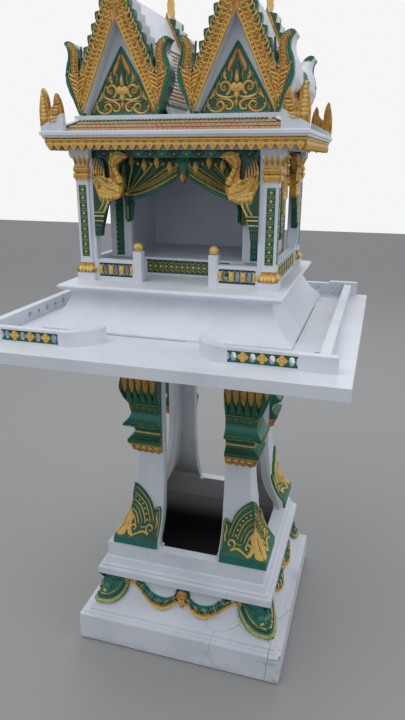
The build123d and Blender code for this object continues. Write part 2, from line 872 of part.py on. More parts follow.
# The horns reach further back than the frame, in a fin that narrows towards the tip.
fin_outline = [(gable_half + 14, 52), (gable_half + 27, 52)] + horn_tip + [(gable_half + 12, 80)]
fin_profile = [
    (0, 52),
    (0.75 * horn_depth, 46),
    (horn_depth, 72, 3),
    (horn_depth, 92),
    (0.6 * horn_depth, 138, 6),
    (0.24 * horn_depth, 163, 3),
    (0, 172),
]


def gable_frame(centre_x, face_y, facing):
    """Bargeboard frame of one gable end; facing is -1 at the front and 1 at the rear."""
    near, far = sorted((face_y, face_y - facing * frame_depth))
    frame = front_prism(Pos(centre_x, gable_foot) * frame_face, near, far)
    near, far = sorted((face_y, face_y - facing * horn_depth))
    side_view = side_prism(outline_face(fin_profile, (face_y, gable_foot), -facing), -reach, reach)
    for hand in (1, -1):
        fin_face = outline_face(fin_outline, (centre_x, gable_foot), hand)
        frame += front_prism(fin_face, near, far) & side_view
    return frame


front_left_frame_body = gable_frame(left_gable, frame_front, -1)
with BuildPart() as front_left_bargeboard:
    add(front_left_frame_body)
front_left_bargeboard.part.label = "front_left_bargeboard"
export_step(front_left_bargeboard.part, "parts/front_left_bargeboard.step")

front_right_frame_body = gable_frame(right_gable, frame_front, -1)
with BuildPart() as front_right_bargeboard:
    add(front_right_frame_body)
front_right_bargeboard.part.label = "front_right_bargeboard"
export_step(front_right_bargeboard.part, "parts/front_right_bargeboard.step")

rear_left_frame_body = gable_frame(left_gable, frame_back, 1)
with BuildPart() as rear_left_bargeboard:
    add(rear_left_frame_body)
rear_left_bargeboard.part.label = "rear_left_bargeboard"
export_step(rear_left_bargeboard.part, "parts/rear_left_bargeboard.step")

rear_right_frame_body = gable_frame(right_gable, frame_back, 1)
with BuildPart() as rear_right_bargeboard:
    add(rear_right_frame_body)
rear_right_bargeboard.part.label = "rear_right_bargeboard"
export_step(rear_right_bargeboard.part, "parts/rear_right_bargeboard.step")

# Recessed pediments, each a white board with a raised carved field.
pediment_recess = 34
pediment_thick = 12
field_half = 88
field_rise = 152
board_face = mirrored_face([(gable_half, 0), (0, gable_rise)])
field_face = mirrored_face([(field_half, 3), (0, 3 + field_rise)])


def pediment(centre_x, facing):
    """Pediment board of one gable end; facing is -1 at the front and 1 at the rear."""
    face_y = house_y + facing * (gable_half_y - pediment_recess)
    near, far = sorted((face_y, face_y - facing * pediment_thick))
    board = front_prism(Pos(centre_x, gable_foot) * board_face, near, far)
    near, far = sorted((face_y, face_y + facing * 3))
    return board + front_prism(Pos(centre_x, gable_foot) * field_face, near, far)


front_pediments_body = pediment(left_gable, -1) + pediment(right_gable, -1)
with BuildPart() as front_pediments:
    add(front_pediments_body)
front_pediments.part.label = "front_pediments"
export_step(front_pediments.part, "parts/front_pediments.step")

rear_pediments_body = pediment(left_gable, 1) + pediment(right_gable, 1)
with BuildPart() as rear_pediments:
    add(rear_pediments_body)
rear_pediments.part.label = "rear_pediments"
export_step(rear_pediments.part, "parts/rear_pediments.step")

# Slender curved finial on top of each gable end.
finial = [
    (-5, 0),
    (5, 0),
    (8, 26, 3),
    (5, 54, 2),
    (2, 82, 2),
    (-3, 54, -4),
    (-8, 26, 2),
]
finial_face = outline_face(finial)
finial_thick = 16
finial_foot = gable_foot + tip_height - 10
finial_bodies = None
for centre in (left_gable, right_gable):
    for middle_y in (frame_front + frame_depth / 2, frame_back - frame_depth / 2):
        spire = front_prism(
            Pos(centre, finial_foot) * finial_face, middle_y - finial_thick / 2, middle_y + finial_thick / 2
        )
        finial_bodies = spire if finial_bodies is None else finial_bodies + spire
for frame_body in (front_left_frame_body, front_right_frame_body, rear_left_frame_body, rear_right_frame_body):
    finial_bodies -= frame_body
with BuildPart() as gable_finials:
    add(finial_bodies)
gable_finials.part.label = "gable_finials"
export_step(gable_finials.part, "parts/gable_finials.step")

# Flame finials at the four eaves corners, each with a tail leaf lying inwards.
hip_flame = [
    (0, 0),
    (62, 0),
    (60, 42, 1),
    (47, 84, 3),
    (40, 62, 2),
    (25, 46, -2),
    (22, 76, 1),
    (13, 96, 1),
    (5, 72, 1),
    (0, 36, 1),
]
hip_thick = 14
hip_edge_x = eaves_half_x - 3
hip_edge_y = eaves_half_y - 4
hip_bodies = None
for hand in (1, -1):
    flame_face = outline_face(hip_flame, (eaves_x + hand * hip_edge_x, skirt_foot), -hand)
    for near in (eaves_y - hip_edge_y, eaves_y + hip_edge_y - hip_thick):
        flame = front_prism(flame_face, near, near + hip_thick)
        hip_bodies = flame if hip_bodies is None else hip_bodies + flame
with BuildPart() as hip_finials:
    add(hip_bodies)
hip_finials.part.label = "hip_finials"
export_step(hip_finials.part, "parts/hip_finials.step")
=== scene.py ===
import math
import bmesh
import bpy
from bpy.props import FloatProperty, FloatVectorProperty, IntProperty, PointerProperty
from mathutils import Matrix, Vector
from mathutils.bvhtree import BVHTree


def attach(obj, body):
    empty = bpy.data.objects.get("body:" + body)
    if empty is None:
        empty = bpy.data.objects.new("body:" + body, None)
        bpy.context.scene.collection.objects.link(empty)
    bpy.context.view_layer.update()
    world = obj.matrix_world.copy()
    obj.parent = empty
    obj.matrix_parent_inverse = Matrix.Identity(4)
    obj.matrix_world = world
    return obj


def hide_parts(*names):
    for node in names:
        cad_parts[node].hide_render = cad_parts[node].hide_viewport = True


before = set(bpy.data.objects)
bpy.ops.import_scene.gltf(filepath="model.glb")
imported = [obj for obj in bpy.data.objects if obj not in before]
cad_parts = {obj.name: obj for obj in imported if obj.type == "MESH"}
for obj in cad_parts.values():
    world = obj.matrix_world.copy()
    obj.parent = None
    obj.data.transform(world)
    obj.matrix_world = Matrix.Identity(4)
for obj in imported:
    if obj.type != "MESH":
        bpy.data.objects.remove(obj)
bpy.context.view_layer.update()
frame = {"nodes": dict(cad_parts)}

bl_info = {
    "name": "Spirit house on a pedestal",
    "version": (1, 1, 0),
    "blender": (4, 5, 0),
    "location": "View3D > Sidebar > Spirit house",
    "description": "Dresses the cast spirit house: paint, carving, tiles and curtain",
    "category": "Object",
}

nodes = frame["nodes"]

# Middle lines of the main parts seen from above, in millimetres.
TOWER = (18.0, 0.0)
LEDGE = (6.0, 0.0)
HOUSE = (0.0, -78.0)
EAVES = (3.0, -66.0)
GABLES = (-135.0, 149.0)

# Sizes, and heights above the ground, that several steps share, in millimetres.
WELL_HALF = 222.0
PANEL_FROM, PANEL_TO = 203.0, 357.0
COLUMN_OFF = (243.0, 193.0)
STRIP_FOOT, STRIP_TOP = 1260.0, 1440.0
SKIRT_FOOT, SKIRT_TOP = 1566.0, 1590.0
GABLE_FOOT = 1602.0
GABLE_HALF, GABLE_RISE = 95.0, 206.0
GABLE_SLOPE = GABLE_HALF / GABLE_RISE
PEDIMENT_HALF, PEDIMENT_RISE = 88.0, 152.0
HORN_FROM = 92.0
THIN_HORN_BACK = 176.0
UP = Vector((0.0, 0.0, 1.0))
MM = 0.001


# Wiring of shader and geometry graphs

class Field:
    """One socket of a graph that can be used in sums."""

    def __init__(self, graph, socket):
        self.graph = graph
        self.socket = socket

    def sum(self, operation, first, second=0.0):
        """The result of one sum, as a new socket."""
        return self.graph.node("ShaderNodeMath", {"operation": operation}, {0: first, 1: second})

    def __add__(self, other):
        return self.sum("ADD", self, other)

    def __radd__(self, other):
        return self.sum("ADD", other, self)

    def __sub__(self, other):
        return self.sum("SUBTRACT", self, other)

    def __rsub__(self, other):
        return self.sum("SUBTRACT", other, self)

    def __mul__(self, other):
        return self.sum("MULTIPLY", self, other)

    def __truediv__(self, other):
        return self.sum("DIVIDE", self, other)

    def __mod__(self, other):
        return self.sum("MODULO", self, other)

    def __abs__(self):
        return self.sum("ABSOLUTE", self)

    def whole(self):
        return self.sum("FLOOR", self)

    def above(self, limit):
        return self.sum("GREATER_THAN", self, limit)

    def below(self, limit):
        return self.sum("LESS_THAN", self, limit)

    def between(self, low, high):
        return self.above(low) * self.below(high)

    def least(self, other):
        return self.sum("MINIMUM", self, other)

    def most(self, other):
        return self.sum("MAXIMUM", self, other)

    def ramp(self, low, high):
        """0 below low, 1 above high, smooth between them."""
        return self.graph.node("ShaderNodeMapRange", {"interpolation_type": "SMOOTHSTEP"},
                               {"Value": self, "From Min": low, "From Max": high})


class Wiring:
    """A node tree that is wired from Python values."""

    def __init__(self, tree):
        self.tree = tree

    def node(self, kind, settings, values, output=0):
        """A node with its settings, then the values or links of its sockets."""
        made = self.tree.nodes.new(kind)
        for key, value in settings.items():
            setattr(made, key, value)
        for key, value in values.items():
            if isinstance(value, Field):
                self.tree.links.new(value.socket, made.inputs[key])
            else:
                made.inputs[key].default_value = value
        return Field(self, made.outputs[output])


class Graph(Wiring):
    """Node graph of one material."""

    def __init__(self, name):
        self.material = bpy.data.materials.new(name)
        self.material.use_nodes = True
        super().__init__(self.material.node_tree)
        self.tree.nodes.clear()
        output = self.tree.nodes.new("ShaderNodeOutputMaterial")
        self.shader = self.tree.nodes.new("ShaderNodeBsdfPrincipled")
        self.tree.links.new(self.shader.outputs[0], output.inputs[0])
        self.place = self.node("ShaderNodeTexCoord", {}, {}, "Object")

    def parts_of(self, vector):
        """The three parts of a vector, one Field each."""
        split = self.tree.nodes.new("ShaderNodeSeparateXYZ")
        self.tree.links.new(vector.socket, split.inputs[0])
        return [Field(self, out) for out in split.outputs]

    def axes(self):
        """Object coordinates in millimetres."""
        return [part * 1000.0 for part in self.parts_of(self.place)]

    def facing(self):
        """The direction that a face looks in."""
        return self.parts_of(self.node("ShaderNodeNewGeometry", {}, {}, "Normal"))

    def stretched(self, x, y, z):
        """Object coordinates with a scale of its own for each axis."""
        return self.node("ShaderNodeVectorMath", {"operation": "MULTIPLY"}, {0: self.place, 1: (x, y, z)})

    def noise(self, scale, detail=3.0, rough=0.55, vector=None):
        return self.node("ShaderNodeTexNoise", {}, {
            "Vector": vector or self.place, "Scale": scale, "Detail": detail, "Roughness": rough})

    def cell_borders(self, scale, vector):
        """Distance to the nearest border between random cells."""
        return self.node("ShaderNodeTexVoronoi", {"feature": "DISTANCE_TO_EDGE"},
                         {"Vector": vector, "Scale": scale}, "Distance")

    def blend(self, factor, first, second):
        """Colour mix: the first colour at 0, the second at 1."""
        made = self.tree.nodes.new("ShaderNodeMix")
        made.data_type = "RGBA"
        for index, value in ((0, factor), (6, first), (7, second)):
            if isinstance(value, Field):
                self.tree.links.new(value.socket, made.inputs[index])
            elif index:
                made.inputs[index].default_value = (*value, 1.0)
            else:
                made.inputs[index].default_value = value
        return Field(self, made.outputs[2])

    def finish(self, colour, rough, metallic=0.0, bump=None, depth=0.0, coat=0.0):
        """Wires the shader; the bump's depth is in metres."""
        for name, value in (("Base Color", colour), ("Roughness", rough), ("Metallic", metallic),
                            ("Coat Weight", coat)):
            if isinstance(value, Field):
                self.tree.links.new(value.socket, self.shader.inputs[name])
            else:
                self.shader.inputs[name].default_value = value
        if bump is not None:
            raised = self.node("ShaderNodeBump", {}, {"Height": bump, "Distance": depth, "Strength": 0.8},
                               "Normal")
            self.tree.links.new(raised.socket, self.shader.inputs["Normal"])
        return self.material


class Grower(Wiring):
    """Geometry node tree with named inputs, grown into a plain mesh."""

    def __init__(self, name, inputs):
        tree = bpy.data.node_groups.new(name, "GeometryNodeTree")
        tree.interface.new_socket("Geometry", in_out="OUTPUT", socket_type="NodeSocketGeometry")
        self.keys = {}
        for label, kind in inputs:
            made = tree.interface.new_socket(label, in_out="INPUT", socket_type="NodeSocket" + kind)
            self.keys[label] = made.identifier
        super().__init__(tree)
        self.entry = tree.nodes.new("NodeGroupInput")
        self.exit = tree.nodes.new("NodeGroupOutput")

    def given(self, label):
        return Field(self, self.entry.outputs[label])

    def vector(self, operation, first, second):
        return self.node("ShaderNodeVectorMath", {"operation": operation}, {0: first, 1: second})

    def scaled(self, vector, factor):
        return self.node("ShaderNodeVectorMath", {"operation": "SCALE"}, {0: vector, "Scale": factor})

    def copies_on(self, points, seed):
        """A copy on each point, each a little larger or smaller than the next."""
        copy = self.node("GeometryNodeObjectInfo", {}, {"Object": self.given("Copy"), "As Instance": True},
                         "Geometry")
        spread = {2: 0.95, 3: 1.05, "Seed": seed}
        size = self.node("FunctionNodeRandomValue", {"data_type": "FLOAT"}, spread, 1)
        return self.node("GeometryNodeInstanceOnPoints", {}, {
            "Points": points, "Instance": copy, "Scale": size})

    def close(self, shape):
        """Ends the tree: real copies, with their finish."""
        solid = self.node("GeometryNodeRealizeInstances", {}, {"Geometry": shape})
        done = self.node("GeometryNodeSetMaterial", {}, {
            "Geometry": solid, "Material": self.given("Finish")})
        self.tree.links.new(done.socket, self.exit.inputs[0])
        return self

    def grow(self, name, values):
        """Runs the tree on an empty host and hands back the mesh."""
        host = bpy.data.objects.new(name + "_host", bpy.data.meshes.new(name + "_host"))
        bpy.context.scene.collection.objects.link(host)
        step = host.modifiers.new("grow", "NODES")
        step.node_group = self.tree
        for label, value in values.items():
            step[self.keys[label]] = value
        shape = host.evaluated_get(bpy.context.evaluated_depsgraph_get())
        mesh = bpy.data.meshes.new_from_object(shape)
        host.modifiers.remove(step)
        bpy.data.objects.remove(host)
        if len(mesh.polygons) == 0:
            raise RuntimeError("nothing grew for " + name)
        return mesh


def row_tree():
    """Copies of one small shape at even steps along a straight line."""
    grower = Grower("row_of_copies", (
        ("Copy", "Object"), ("Count", "Int"), ("Start", "Vector"), ("Step", "Vector"), ("Seed", "Int"),
        ("Finish", "Material")))
    line = grower.node("GeometryNodeMeshLine", {"mode": "OFFSET"}, {
        "Count": grower.given("Count"), "Start Location": grower.given("Start"),
        "Offset": grower.given("Step")})
    return grower.close(grower.copies_on(line, grower.given("Seed")))


def tile_tree():
    """Staggered rows of tiles on a slope that narrows from row to row."""
    grower = Grower("tiles_on_slope", (
        ("Copy", "Object"), ("Columns", "Int"), ("Rows", "Int"), ("Start", "Vector"), ("Across", "Vector"),
        ("Upwards", "Vector"), ("Half width", "Float"), ("Narrowing", "Float"), ("Seed", "Int"),
        ("Finish", "Material")))
    columns = grower.given("Columns")
    index = grower.node("GeometryNodeInputIndex", {}, {})
    points = grower.node("GeometryNodeMeshLine", {"mode": "OFFSET"}, {
        "Count": columns * grower.given("Rows"), "Offset": (0.0, 0.0, 0.0)})
    row = (index / columns + 0.0001).whole()
    column = index - row * columns - (columns - 1.0) / 2.0 + (row % 2.0) * 0.5
    along = grower.vector("ADD", grower.scaled(grower.given("Across"), column),
                          grower.scaled(grower.given("Upwards"), row))
    placed = grower.node("GeometryNodeSetPosition", {}, {
        "Geometry": points, "Position": grower.vector("ADD", grower.given("Start"), along)})
    pitch = grower.node("ShaderNodeVectorMath", {"operation": "LENGTH"}, {0: grower.given("Across")}, "Value")
    half_here = grower.given("Half width") - grower.given("Narrowing") * row
    outside = (abs(column) * pitch - half_here).above(0.0)
    kept = grower.node("GeometryNodeDeleteGeometry", {"domain": "POINT"}, {
        "Geometry": placed, "Selection": outside})
    return grower.close(grower.copies_on(kept, grower.given("Seed")))


# Drawing on the sides of the shrine

# How far in front of a plane the search for a cast surface starts, and how far it goes, in metres.
SEARCH_FROM, SEARCH_LENGTH = 0.15, 0.35


class Ground:
    """A plane to draw on: u across, v up and h out of it, all in millimetres.

    With a surface, what is drawn lies on that surface instead of the plane.
    """

    def __init__(self, origin, across, up, out, surface=None):
        self.origin = Vector(origin)
        self.across = Vector(across).normalized()
        self.up = Vector(up).normalized()
        self.out = Vector(out).normalized()
        self.surface = surface

    def __call__(self, u, v, h=0.0):
        point = (self.origin + self.across * u + self.up * v) * MM
        if self.surface:
            hit = self.surface.ray_cast(point + self.out * SEARCH_FROM, -self.out, SEARCH_LENGTH)[0]
            point = self.surface.find_nearest(point)[0] if hit is None else hit
        return point + self.out * (h * MM)

    def moved(self, u=0.0, v=0.0, h=0.0):
        """The same plane with its origin elsewhere."""
        return Ground(self.origin + self.across * u + self.up * v + self.out * h, self.across, self.up,
                      self.out, self.surface)

    def turned(self, hand):
        """The same plane with its u axis the other way round."""
        return Ground(self.origin, self.across * hand, self.up, self.out, self.surface)


def side_ground(turn, distance, centre=(0.0, 0.0), surface=None):
    """Upright plane on one side; turn 0 is the front, 1 the right, 2 the rear, 3 the left."""
    angle = turn * math.pi / 2
    across = Vector((math.cos(angle), math.sin(angle), 0.0))
    out = Vector((math.sin(angle), -math.cos(angle), 0.0))
    origin = Vector((centre[0], centre[1], 0.0)) + out * distance
    return Ground(origin, across, UP, out, surface)


def surface_of(*names):
    """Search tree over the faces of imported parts."""
    points, faces = [], []
    for name in names:
        mesh = nodes[name].data
        first = len(points)
        points.extend(nodes[name].matrix_world @ vertex.co for vertex in mesh.vertices)
        faces.extend(tuple(first + index for index in face.vertices) for face in mesh.polygons)
    return BVHTree.FromPolygons(points, faces)


def mirrored(u, half):
    """A closed outline from its left half: how far each point lies from the line u, and its height."""
    return [(u - off, v) for off, v in half] + [(u + off, v) for off, v in reversed(half) if off]


def smooth(path, steps, ring=False):
    """Points on a smooth line through the given ones."""
    if len(path) == 2:
        (au, av), (bu, bv) = path
        return [(au + (bu - au) * i / steps, av + (bv - av) * i / steps) for i in range(steps + 1)]
    count = len(path)
    spans = count if ring else count - 1
    line = []
    for span in range(spans):
        if ring:
            corners = [path[(span + k) % count] for k in (-1, 0, 1, 2)]
        else:
            corners = [path[min(max(span + k, 0), count - 1)] for k in (-1, 0, 1, 2)]
        a, b, c, d = corners
        for step in range(steps):
            t = step / steps
            point = []
            for axis in (0, 1):
                point.append(0.5 * (2 * b[axis] + (c[axis] - a[axis]) * t
                                    + (2 * a[axis] - 5 * b[axis] + 4 * c[axis] - d[axis]) * t * t
                                    + (3 * b[axis] - a[axis] - 3 * c[axis] + d[axis]) * t ** 3))
            line.append(tuple(point))
    if not ring:
        line.append(tuple(path[-1]))
    return line


def taper(value, t):
    """One number, or start, middle and end numbers along a stroke."""
    if not isinstance(value, tuple):
        return value
    start, middle, end = value
    return start + (middle - start) * 2 * t if t < 0.5 else middle + (end - middle) * (2 * t - 1)


# Section of a stroke, as shares of its half width and height, and how deep carving is let in.
ROUND_SECTION = ((-1.0, 0.0), (-0.66, 0.72), (0.0, 1.0), (0.66, 0.72), (1.0, 0.0))
SUNK = -0.6

# Levels of a carved shape: the share of its outline, and the share of its height.
LEAF_LEVELS = ((1.0, 0.0), (0.9, 0.62), (0.55, 1.0))
BOSS_LEVELS = ((1.0, 0.0), (0.86, 0.6), (0.5, 0.92), (0.12, 1.0))


class Relief:
    """Carving in low relief, made of strokes, leaves and bosses.

    Widths, heights and places are in millimetres. A width or height may be three numbers, for the
    start, middle and end of a stroke.
    """

    def __init__(self, name, *paints):
        self.name = name
        self.paints = paints
        self.points = []
        self.faces = []
        self.marks = []

    def skin(self, rings, paint):
        """Faces between rings of equal length, closed at both ends."""
        first, size = len(self.points), len(rings[0])
        for ring in rings:
            self.points.extend(ring)
        for level in range(len(rings) - 1):
            base = first + level * size
            for i in range(size):
                j = (i + 1) % size
                self.faces.append((base + i, base + j, base + size + j, base + size + i))
        last = first + (len(rings) - 1) * size
        self.faces.append(tuple(range(first, first + size)))
        self.faces.append(tuple(range(last, last + size)))
        self.marks.extend([self.paints.index(paint)] * (len(self.faces) - len(self.marks)))

    def stroke(self, ground, path, width, height, paint, steps=5):
        """A rounded band along a smooth path."""
        spine = smooth(path, steps)
        rings = []
        for index, (u, v) in enumerate(spine):
            ahead = spine[min(index + 1, len(spine) - 1)]
            behind = spine[max(index - 1, 0)]
            du, dv = ahead[0] - behind[0], ahead[1] - behind[1]
            length = math.hypot(du, dv) or 1.0
            t = index / (len(spine) - 1)
            half, tall = taper(width, t) / 2, taper(height, t)
            side_u, side_v = -dv / length * half, du / length * half
            rings.append([ground(u + side_u * k, v + side_v * k, tall * rise if rise else SUNK)
                          for k, rise in ROUND_SECTION])
        self.skin(rings, paint)

    def strokes(self, ground, *lines):
        """Several strokes, each a path, width, height, paint and steps."""
        for line in lines:
            self.stroke(ground, *line)

    def bands(self, ground, start, end, rows, steps=4):
        """Level strokes between two upright lines, each a v, width, height and paint."""
        for v, width, height, paint in rows:
            self.stroke(ground, [(start, v), (end, v)], width, height, paint, steps)

    def leaf(self, ground, outline, height, paint, steps=4, levels=LEAF_LEVELS):
        """A domed leaf inside a closed outline."""
        ring = smooth(outline, steps, ring=True) if steps else list(outline)
        cu = sum(p[0] for p in ring) / len(ring)
        cv = sum(p[1] for p in ring) / len(ring)
        self.skin([[ground(cu + (u - cu) * scale, cv + (v - cv) * scale, height * rise if rise else SUNK)
                    for u, v in ring] for scale, rise in levels], paint)

    def boss(self, ground, u, v, across, tall, height, paint, count=14):
        """A domed oval."""
        ring = [(u + across * math.cos(2 * math.pi * k / count), v + tall * math.sin(2 * math.pi * k / count))
                for k in range(count)]
        self.leaf(ground, ring, height, paint, 0, BOSS_LEVELS)

    def petals(self, ground, u, v, reach, height, paint, count=4, turn=0.0, slim=0.34):
        """A flower of pointed petals round a point."""
        for k in range(count):
            angle = turn + 2 * math.pi * k / count
            cos, sin = math.cos(angle), math.sin(angle)
            shape = ((0.12, 0), (0.5, slim), (1.0, 0), (0.5, -slim))
            self.leaf(ground, [(u + (a * cos - b * sin) * reach, v + (a * sin + b * cos) * reach)
                               for a, b in shape], height, paint, 3)

    def curl(self, ground, u, v, radius, start, sweep, width, height, paint, inner=0.25):
        """A spiral that winds in to its eye."""
        steps = max(10, int(abs(sweep) * 4))
        path = []
        for k in range(steps + 1):
            t = k / steps
            angle, reach = start + sweep * t, radius * (1 - (1 - inner) * t)
            path.append((u + reach * math.cos(angle), v + reach * math.sin(angle)))
        self.stroke(ground, path, (width, width, width * 0.6), height, paint, 1)

    def mesh(self):
        made = bpy.data.meshes.new(self.name)
        made.from_pydata(self.points, [], self.faces)
        shape = bmesh.new()
        shape.from_mesh(made)
        bmesh.ops.recalc_face_normals(shape, faces=shape.faces)
        shape.to_mesh(made)
        shape.free()
        for paint in self.paints:
            made.materials.append(finish(paint))
        for face, mark in zip(made.polygons, self.marks):
            face.material_index = mark
        soften(made)
        return made

    def settle(self, slot, *replaced):
        """Turns the carving into a piece that rides on the shrine."""
        return settle(self.name, self.mesh(), slot, *replaced)


# Angle between faces, in radians, from which an edge is a crease.
CREASE = 0.7


def soften(mesh):
    """Smooth shading, with creases where faces turn sharply."""
    for face in mesh.polygons:
        face.use_smooth = True
    mesh.set_sharp_from_angle(angle=CREASE)


def settle(name, mesh, slot, *replaced):
    """Makes a mesh a piece of the shrine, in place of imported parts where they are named."""
    mesh.name = name
    piece = bpy.data.objects.new(name, mesh)
    bpy.context.scene.collection.objects.link(piece)
    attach(piece, "root")
    if replaced:
        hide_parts(*replaced)
    return piece


def joined(name, meshes):
    """One mesh from several."""
    shape = bmesh.new()
    finishes = []
    for mesh in meshes:
        first = len(shape.faces)
        shape.from_mesh(mesh)
        shape.faces.ensure_lookup_table()
        for face in shape.faces[first:]:
            material = mesh.materials[face.material_index]
            if material not in finishes:
                finishes.append(material)
            face.material_index = finishes.index(material)
    made = bpy.data.meshes.new(name)
    shape.to_mesh(made)
    shape.free()
    for material in finishes:
        made.materials.append(material)
    soften(made)
    return made


def copies(tree, name, draw, paint, values):
    """Draws one small shape, grows a tree with it and hands back the mesh."""
    carving = Relief(name + "_copy", paint)
    draw(carving)
    copy = bpy.data.objects.new(name + "_copy", carving.mesh())
    bpy.context.scene.collection.objects.link(copy)
    mesh = tree.grow(name, {"Copy": copy, "Finish": finish(paint), **values})
    bpy.data.objects.remove(copy)
    return mesh


ROW_SEED = 3


def row(tree, name, ground, draw, paint, first, step, count):
    """A row of copies drawn on a plane, from the point first on, with the given step."""
    way = (ground.across * step[0] + ground.up * step[1]) * MM
    local = Ground((0, 0, 0), ground.across, ground.up, ground.out)
    return copies(tree, name, lambda carving: draw(carving, local), paint, {
        "Count": count, "Start": ground(*first), "Step": way, "Seed": ROW_SEED})


# Paints

def tones():
    return bpy.context.scene.shrine_colours


def mixed(name):
    """Two tones and gilt of a named paint."""
    colours = tones()
    table = {
        "gold": (colours.gold, colours.gold_dark, 0.3),
        "gold_pale": (colours.gold_pale, colours.gold, 0.2),
        "gold_red": (colours.gold_red, colours.gold, 0.1),
        "green": (colours.green, colours.green_dark, 0.0),
        "teal": (colours.teal, colours.green, 0.0),
        "green_dark": (colours.green_dark, colours.green_dark, 0.0),
        "olive": (colours.olive, colours.green, 0.05),
        "bronze": (colours.gold_dark, colours.gold, 0.2),
        "lime": (colours.lime, colours.olive, 0.05),
        "tile": (colours.tile, colours.tile_pale, 0.0),
        "white": (colours.white, colours.white_shade, 0.0),
        # Painted shade: the grey and the darkest paints stand for shade in the well, inside the legs, on the
        # sunk balustrade panels and as shadow lines on the plate.
        "grey": (colours.painted_shade_grey, colours.rain, 0.0),
        "black": (colours.crack, colours.crack, 0.0),
    }
    return table[name]


def finish(name):
    """The material of a brushed paint, mixed once."""
    label = name + "_paint"
    if label in bpy.data.materials:
        return bpy.data.materials[label]
    tone, shade, gilt = mixed(name)
    g = Graph(label)
    brush = g.noise(1.0, 4.0, 0.6, g.stretched(170.0, 170.0, 70.0))
    spots = g.noise(95.0, 3.0)
    colour = g.blend((brush * 0.6 + spots * 0.4).ramp(0.36, 0.68), tone, shade)
    worn = g.noise(60.0, 5.0, 0.7).ramp(0.7, 0.76)
    colour = g.blend(worn * 0.3, colour, tones().white_shade)
    if name == "tile":
        colour = g.blend(g.noise(14.0, 2.0).ramp(0.4, 0.65) * 0.5, colour, tones().tile_red)
    return g.finish(colour, 0.34 + brush * 0.14, gilt, brush * 0.4 + spots * 0.6, 0.0007,
                    0.2 if gilt else 0.1)


def zoned(name, zones, base="white", age=0.0):
    """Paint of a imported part: a base coat, and other paints in zones of its own coordinates."""
    g = Graph(name)
    x, y, z = g.axes()
    tone, shade, metal = mixed(base)
    cloud = g.noise(5.0, 4.0)
    brush = g.noise(1.0, 4.0, 0.6, g.stretched(150.0, 150.0, 60.0))
    streak = g.noise(1.0, 4.0, 0.6, g.stretched(34.0, 34.0, 3.0))
    colour = g.blend(cloud.ramp(0.38, 0.7), tone, shade)
    colour = g.blend(streak.ramp(0.56, 0.85) * 0.22, colour, tones().rain)
    height = g.noise(150.0, 3.0) * 0.35 + g.noise(26.0, 2.0) * 0.65
    if age:
        colour, height = weathered(g, colour, height, x, z, age)
    rough = 0.5 + cloud * 0.12
    for mask, paint in zones(g, x, y, z):
        tone, shade, gilt = mixed(paint)
        colour = g.blend(mask, colour, g.blend(brush.ramp(0.34, 0.7), tone, shade))
        metal = (1.0 - mask) * metal + mask * gilt
        rough = (1.0 - mask) * rough + mask * 0.4
    return g.finish(colour, rough, metal, height, 0.0009, 0.08)


def weathered(g, colour, height, x, z, age):
    """Darker, browner colour all round near the ground, and moss and hairline cracks towards the right."""
    right = x.ramp(-20.0, 230.0)
    # The colour turns darker and browner within a few centimetres of the ground.
    near_ground = (g.noise(20.0, 5.0, 0.65) * 90.0 - z).ramp(10.0, 70.0)
    colour = g.blend(near_ground * 0.4, colour, tones().foot_tone)
    growth = g.noise(11.0, 6.0, 0.7).ramp(0.5, 0.66) * g.noise(55.0, 3.0).ramp(0.35, 0.6)
    colour = g.blend(growth * right * (150.0 - z).ramp(0.0, 120.0) * 0.8 * age, colour, tones().moss)
    warp = g.node("ShaderNodeTexNoise", {}, {"Vector": g.place, "Scale": 7.0, "Detail": 3.0}, "Color")
    shift = g.node("ShaderNodeVectorMath", {"operation": "SCALE"}, {0: warp, "Scale": 0.12})
    bent = g.node("ShaderNodeVectorMath", {"operation": "ADD"}, {0: g.place, 1: shift})
    crack = 1.0 - g.cell_borders(7.0, bent).ramp(0.0, 0.012)
    crack = crack * g.noise(4.0, 2.0).ramp(0.5, 0.62) * right
    return g.blend(crack * 0.8 * age, colour, tones().crack), height - crack * 0.5


def paint_node(name, material):
    """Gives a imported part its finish."""
    slots = nodes[name].data.materials
    if len(slots) == 0:
        slots.append(material)
    for index in range(len(slots)):
        slots[index] = material


# Zones: where on a part, in its own coordinates, which paint covers the base coat. All are called alike.

def reach_from(centre, x, y):
    """How far a point lies from an upright middle line, measured to the nearest side."""
    return abs(x - centre[0]).most(abs(y - centre[1]))


def upright(g):
    """1 on upright faces."""
    return abs(g.facing()[2]).below(0.5)


def no_zones(g, x, y, z):
    return []


def tower_zones(g, x, y, z):
    """Grey painted as shade inside the legs, which spread towards the foot; the painted shade is deeper lower
    down.
    """
    low = (620.0 - z).most(0.0)
    inner_face = 160.0 + low * 0.05 + low * low * 0.00075
    inside = (inner_face - reach_from(TOWER, x, y)).above(0.0)
    return [(inside * (0.85 - z.ramp(360.0, 620.0) * 0.5), "grey")]


def neck_zones(g, x, y, z):
    """Grey painted as shade inside the well."""
    return [(reach_from(LEDGE, x, y).below(WELL_HALF) * 0.9, "grey")]


def tier_zones(g, x, y, z):
    """Painted shade inside the well: grey, turning darker towards its floor."""
    inside = reach_from(LEDGE, x, y).below(WELL_HALF)
    return [(inside, "grey"), (inside * (1.0 - z.ramp(158.0, 250.0) * 0.8), "black")]


def block_zones(g, x, y, z):
    """Very dark painted shade on the floor of the well."""
    return [(z.above(105.5) * reach_from(LEDGE, x, y).below(WELL_HALF), "black")]


def capital_zones(g, x, y, z):
    """Deep green behind the petals, a blue-green ring and a bronze hem."""
    return [(z.above(834.0), "green_dark"), (z.between(640.0, 679.0), "bronze"),
            (z.between(750.0, 783.0), "teal")]


def leaf_zones(g, x, y, z):
    """Blue-green foot edge."""
    return [(z.below(367.0), "teal")]


def railing_zones(g, x, y, z):
    """Green on the sunk panel."""
    return [(y.between(-524.8, -523.2) * abs(x).between(PANEL_FROM, PANEL_TO), "green")]


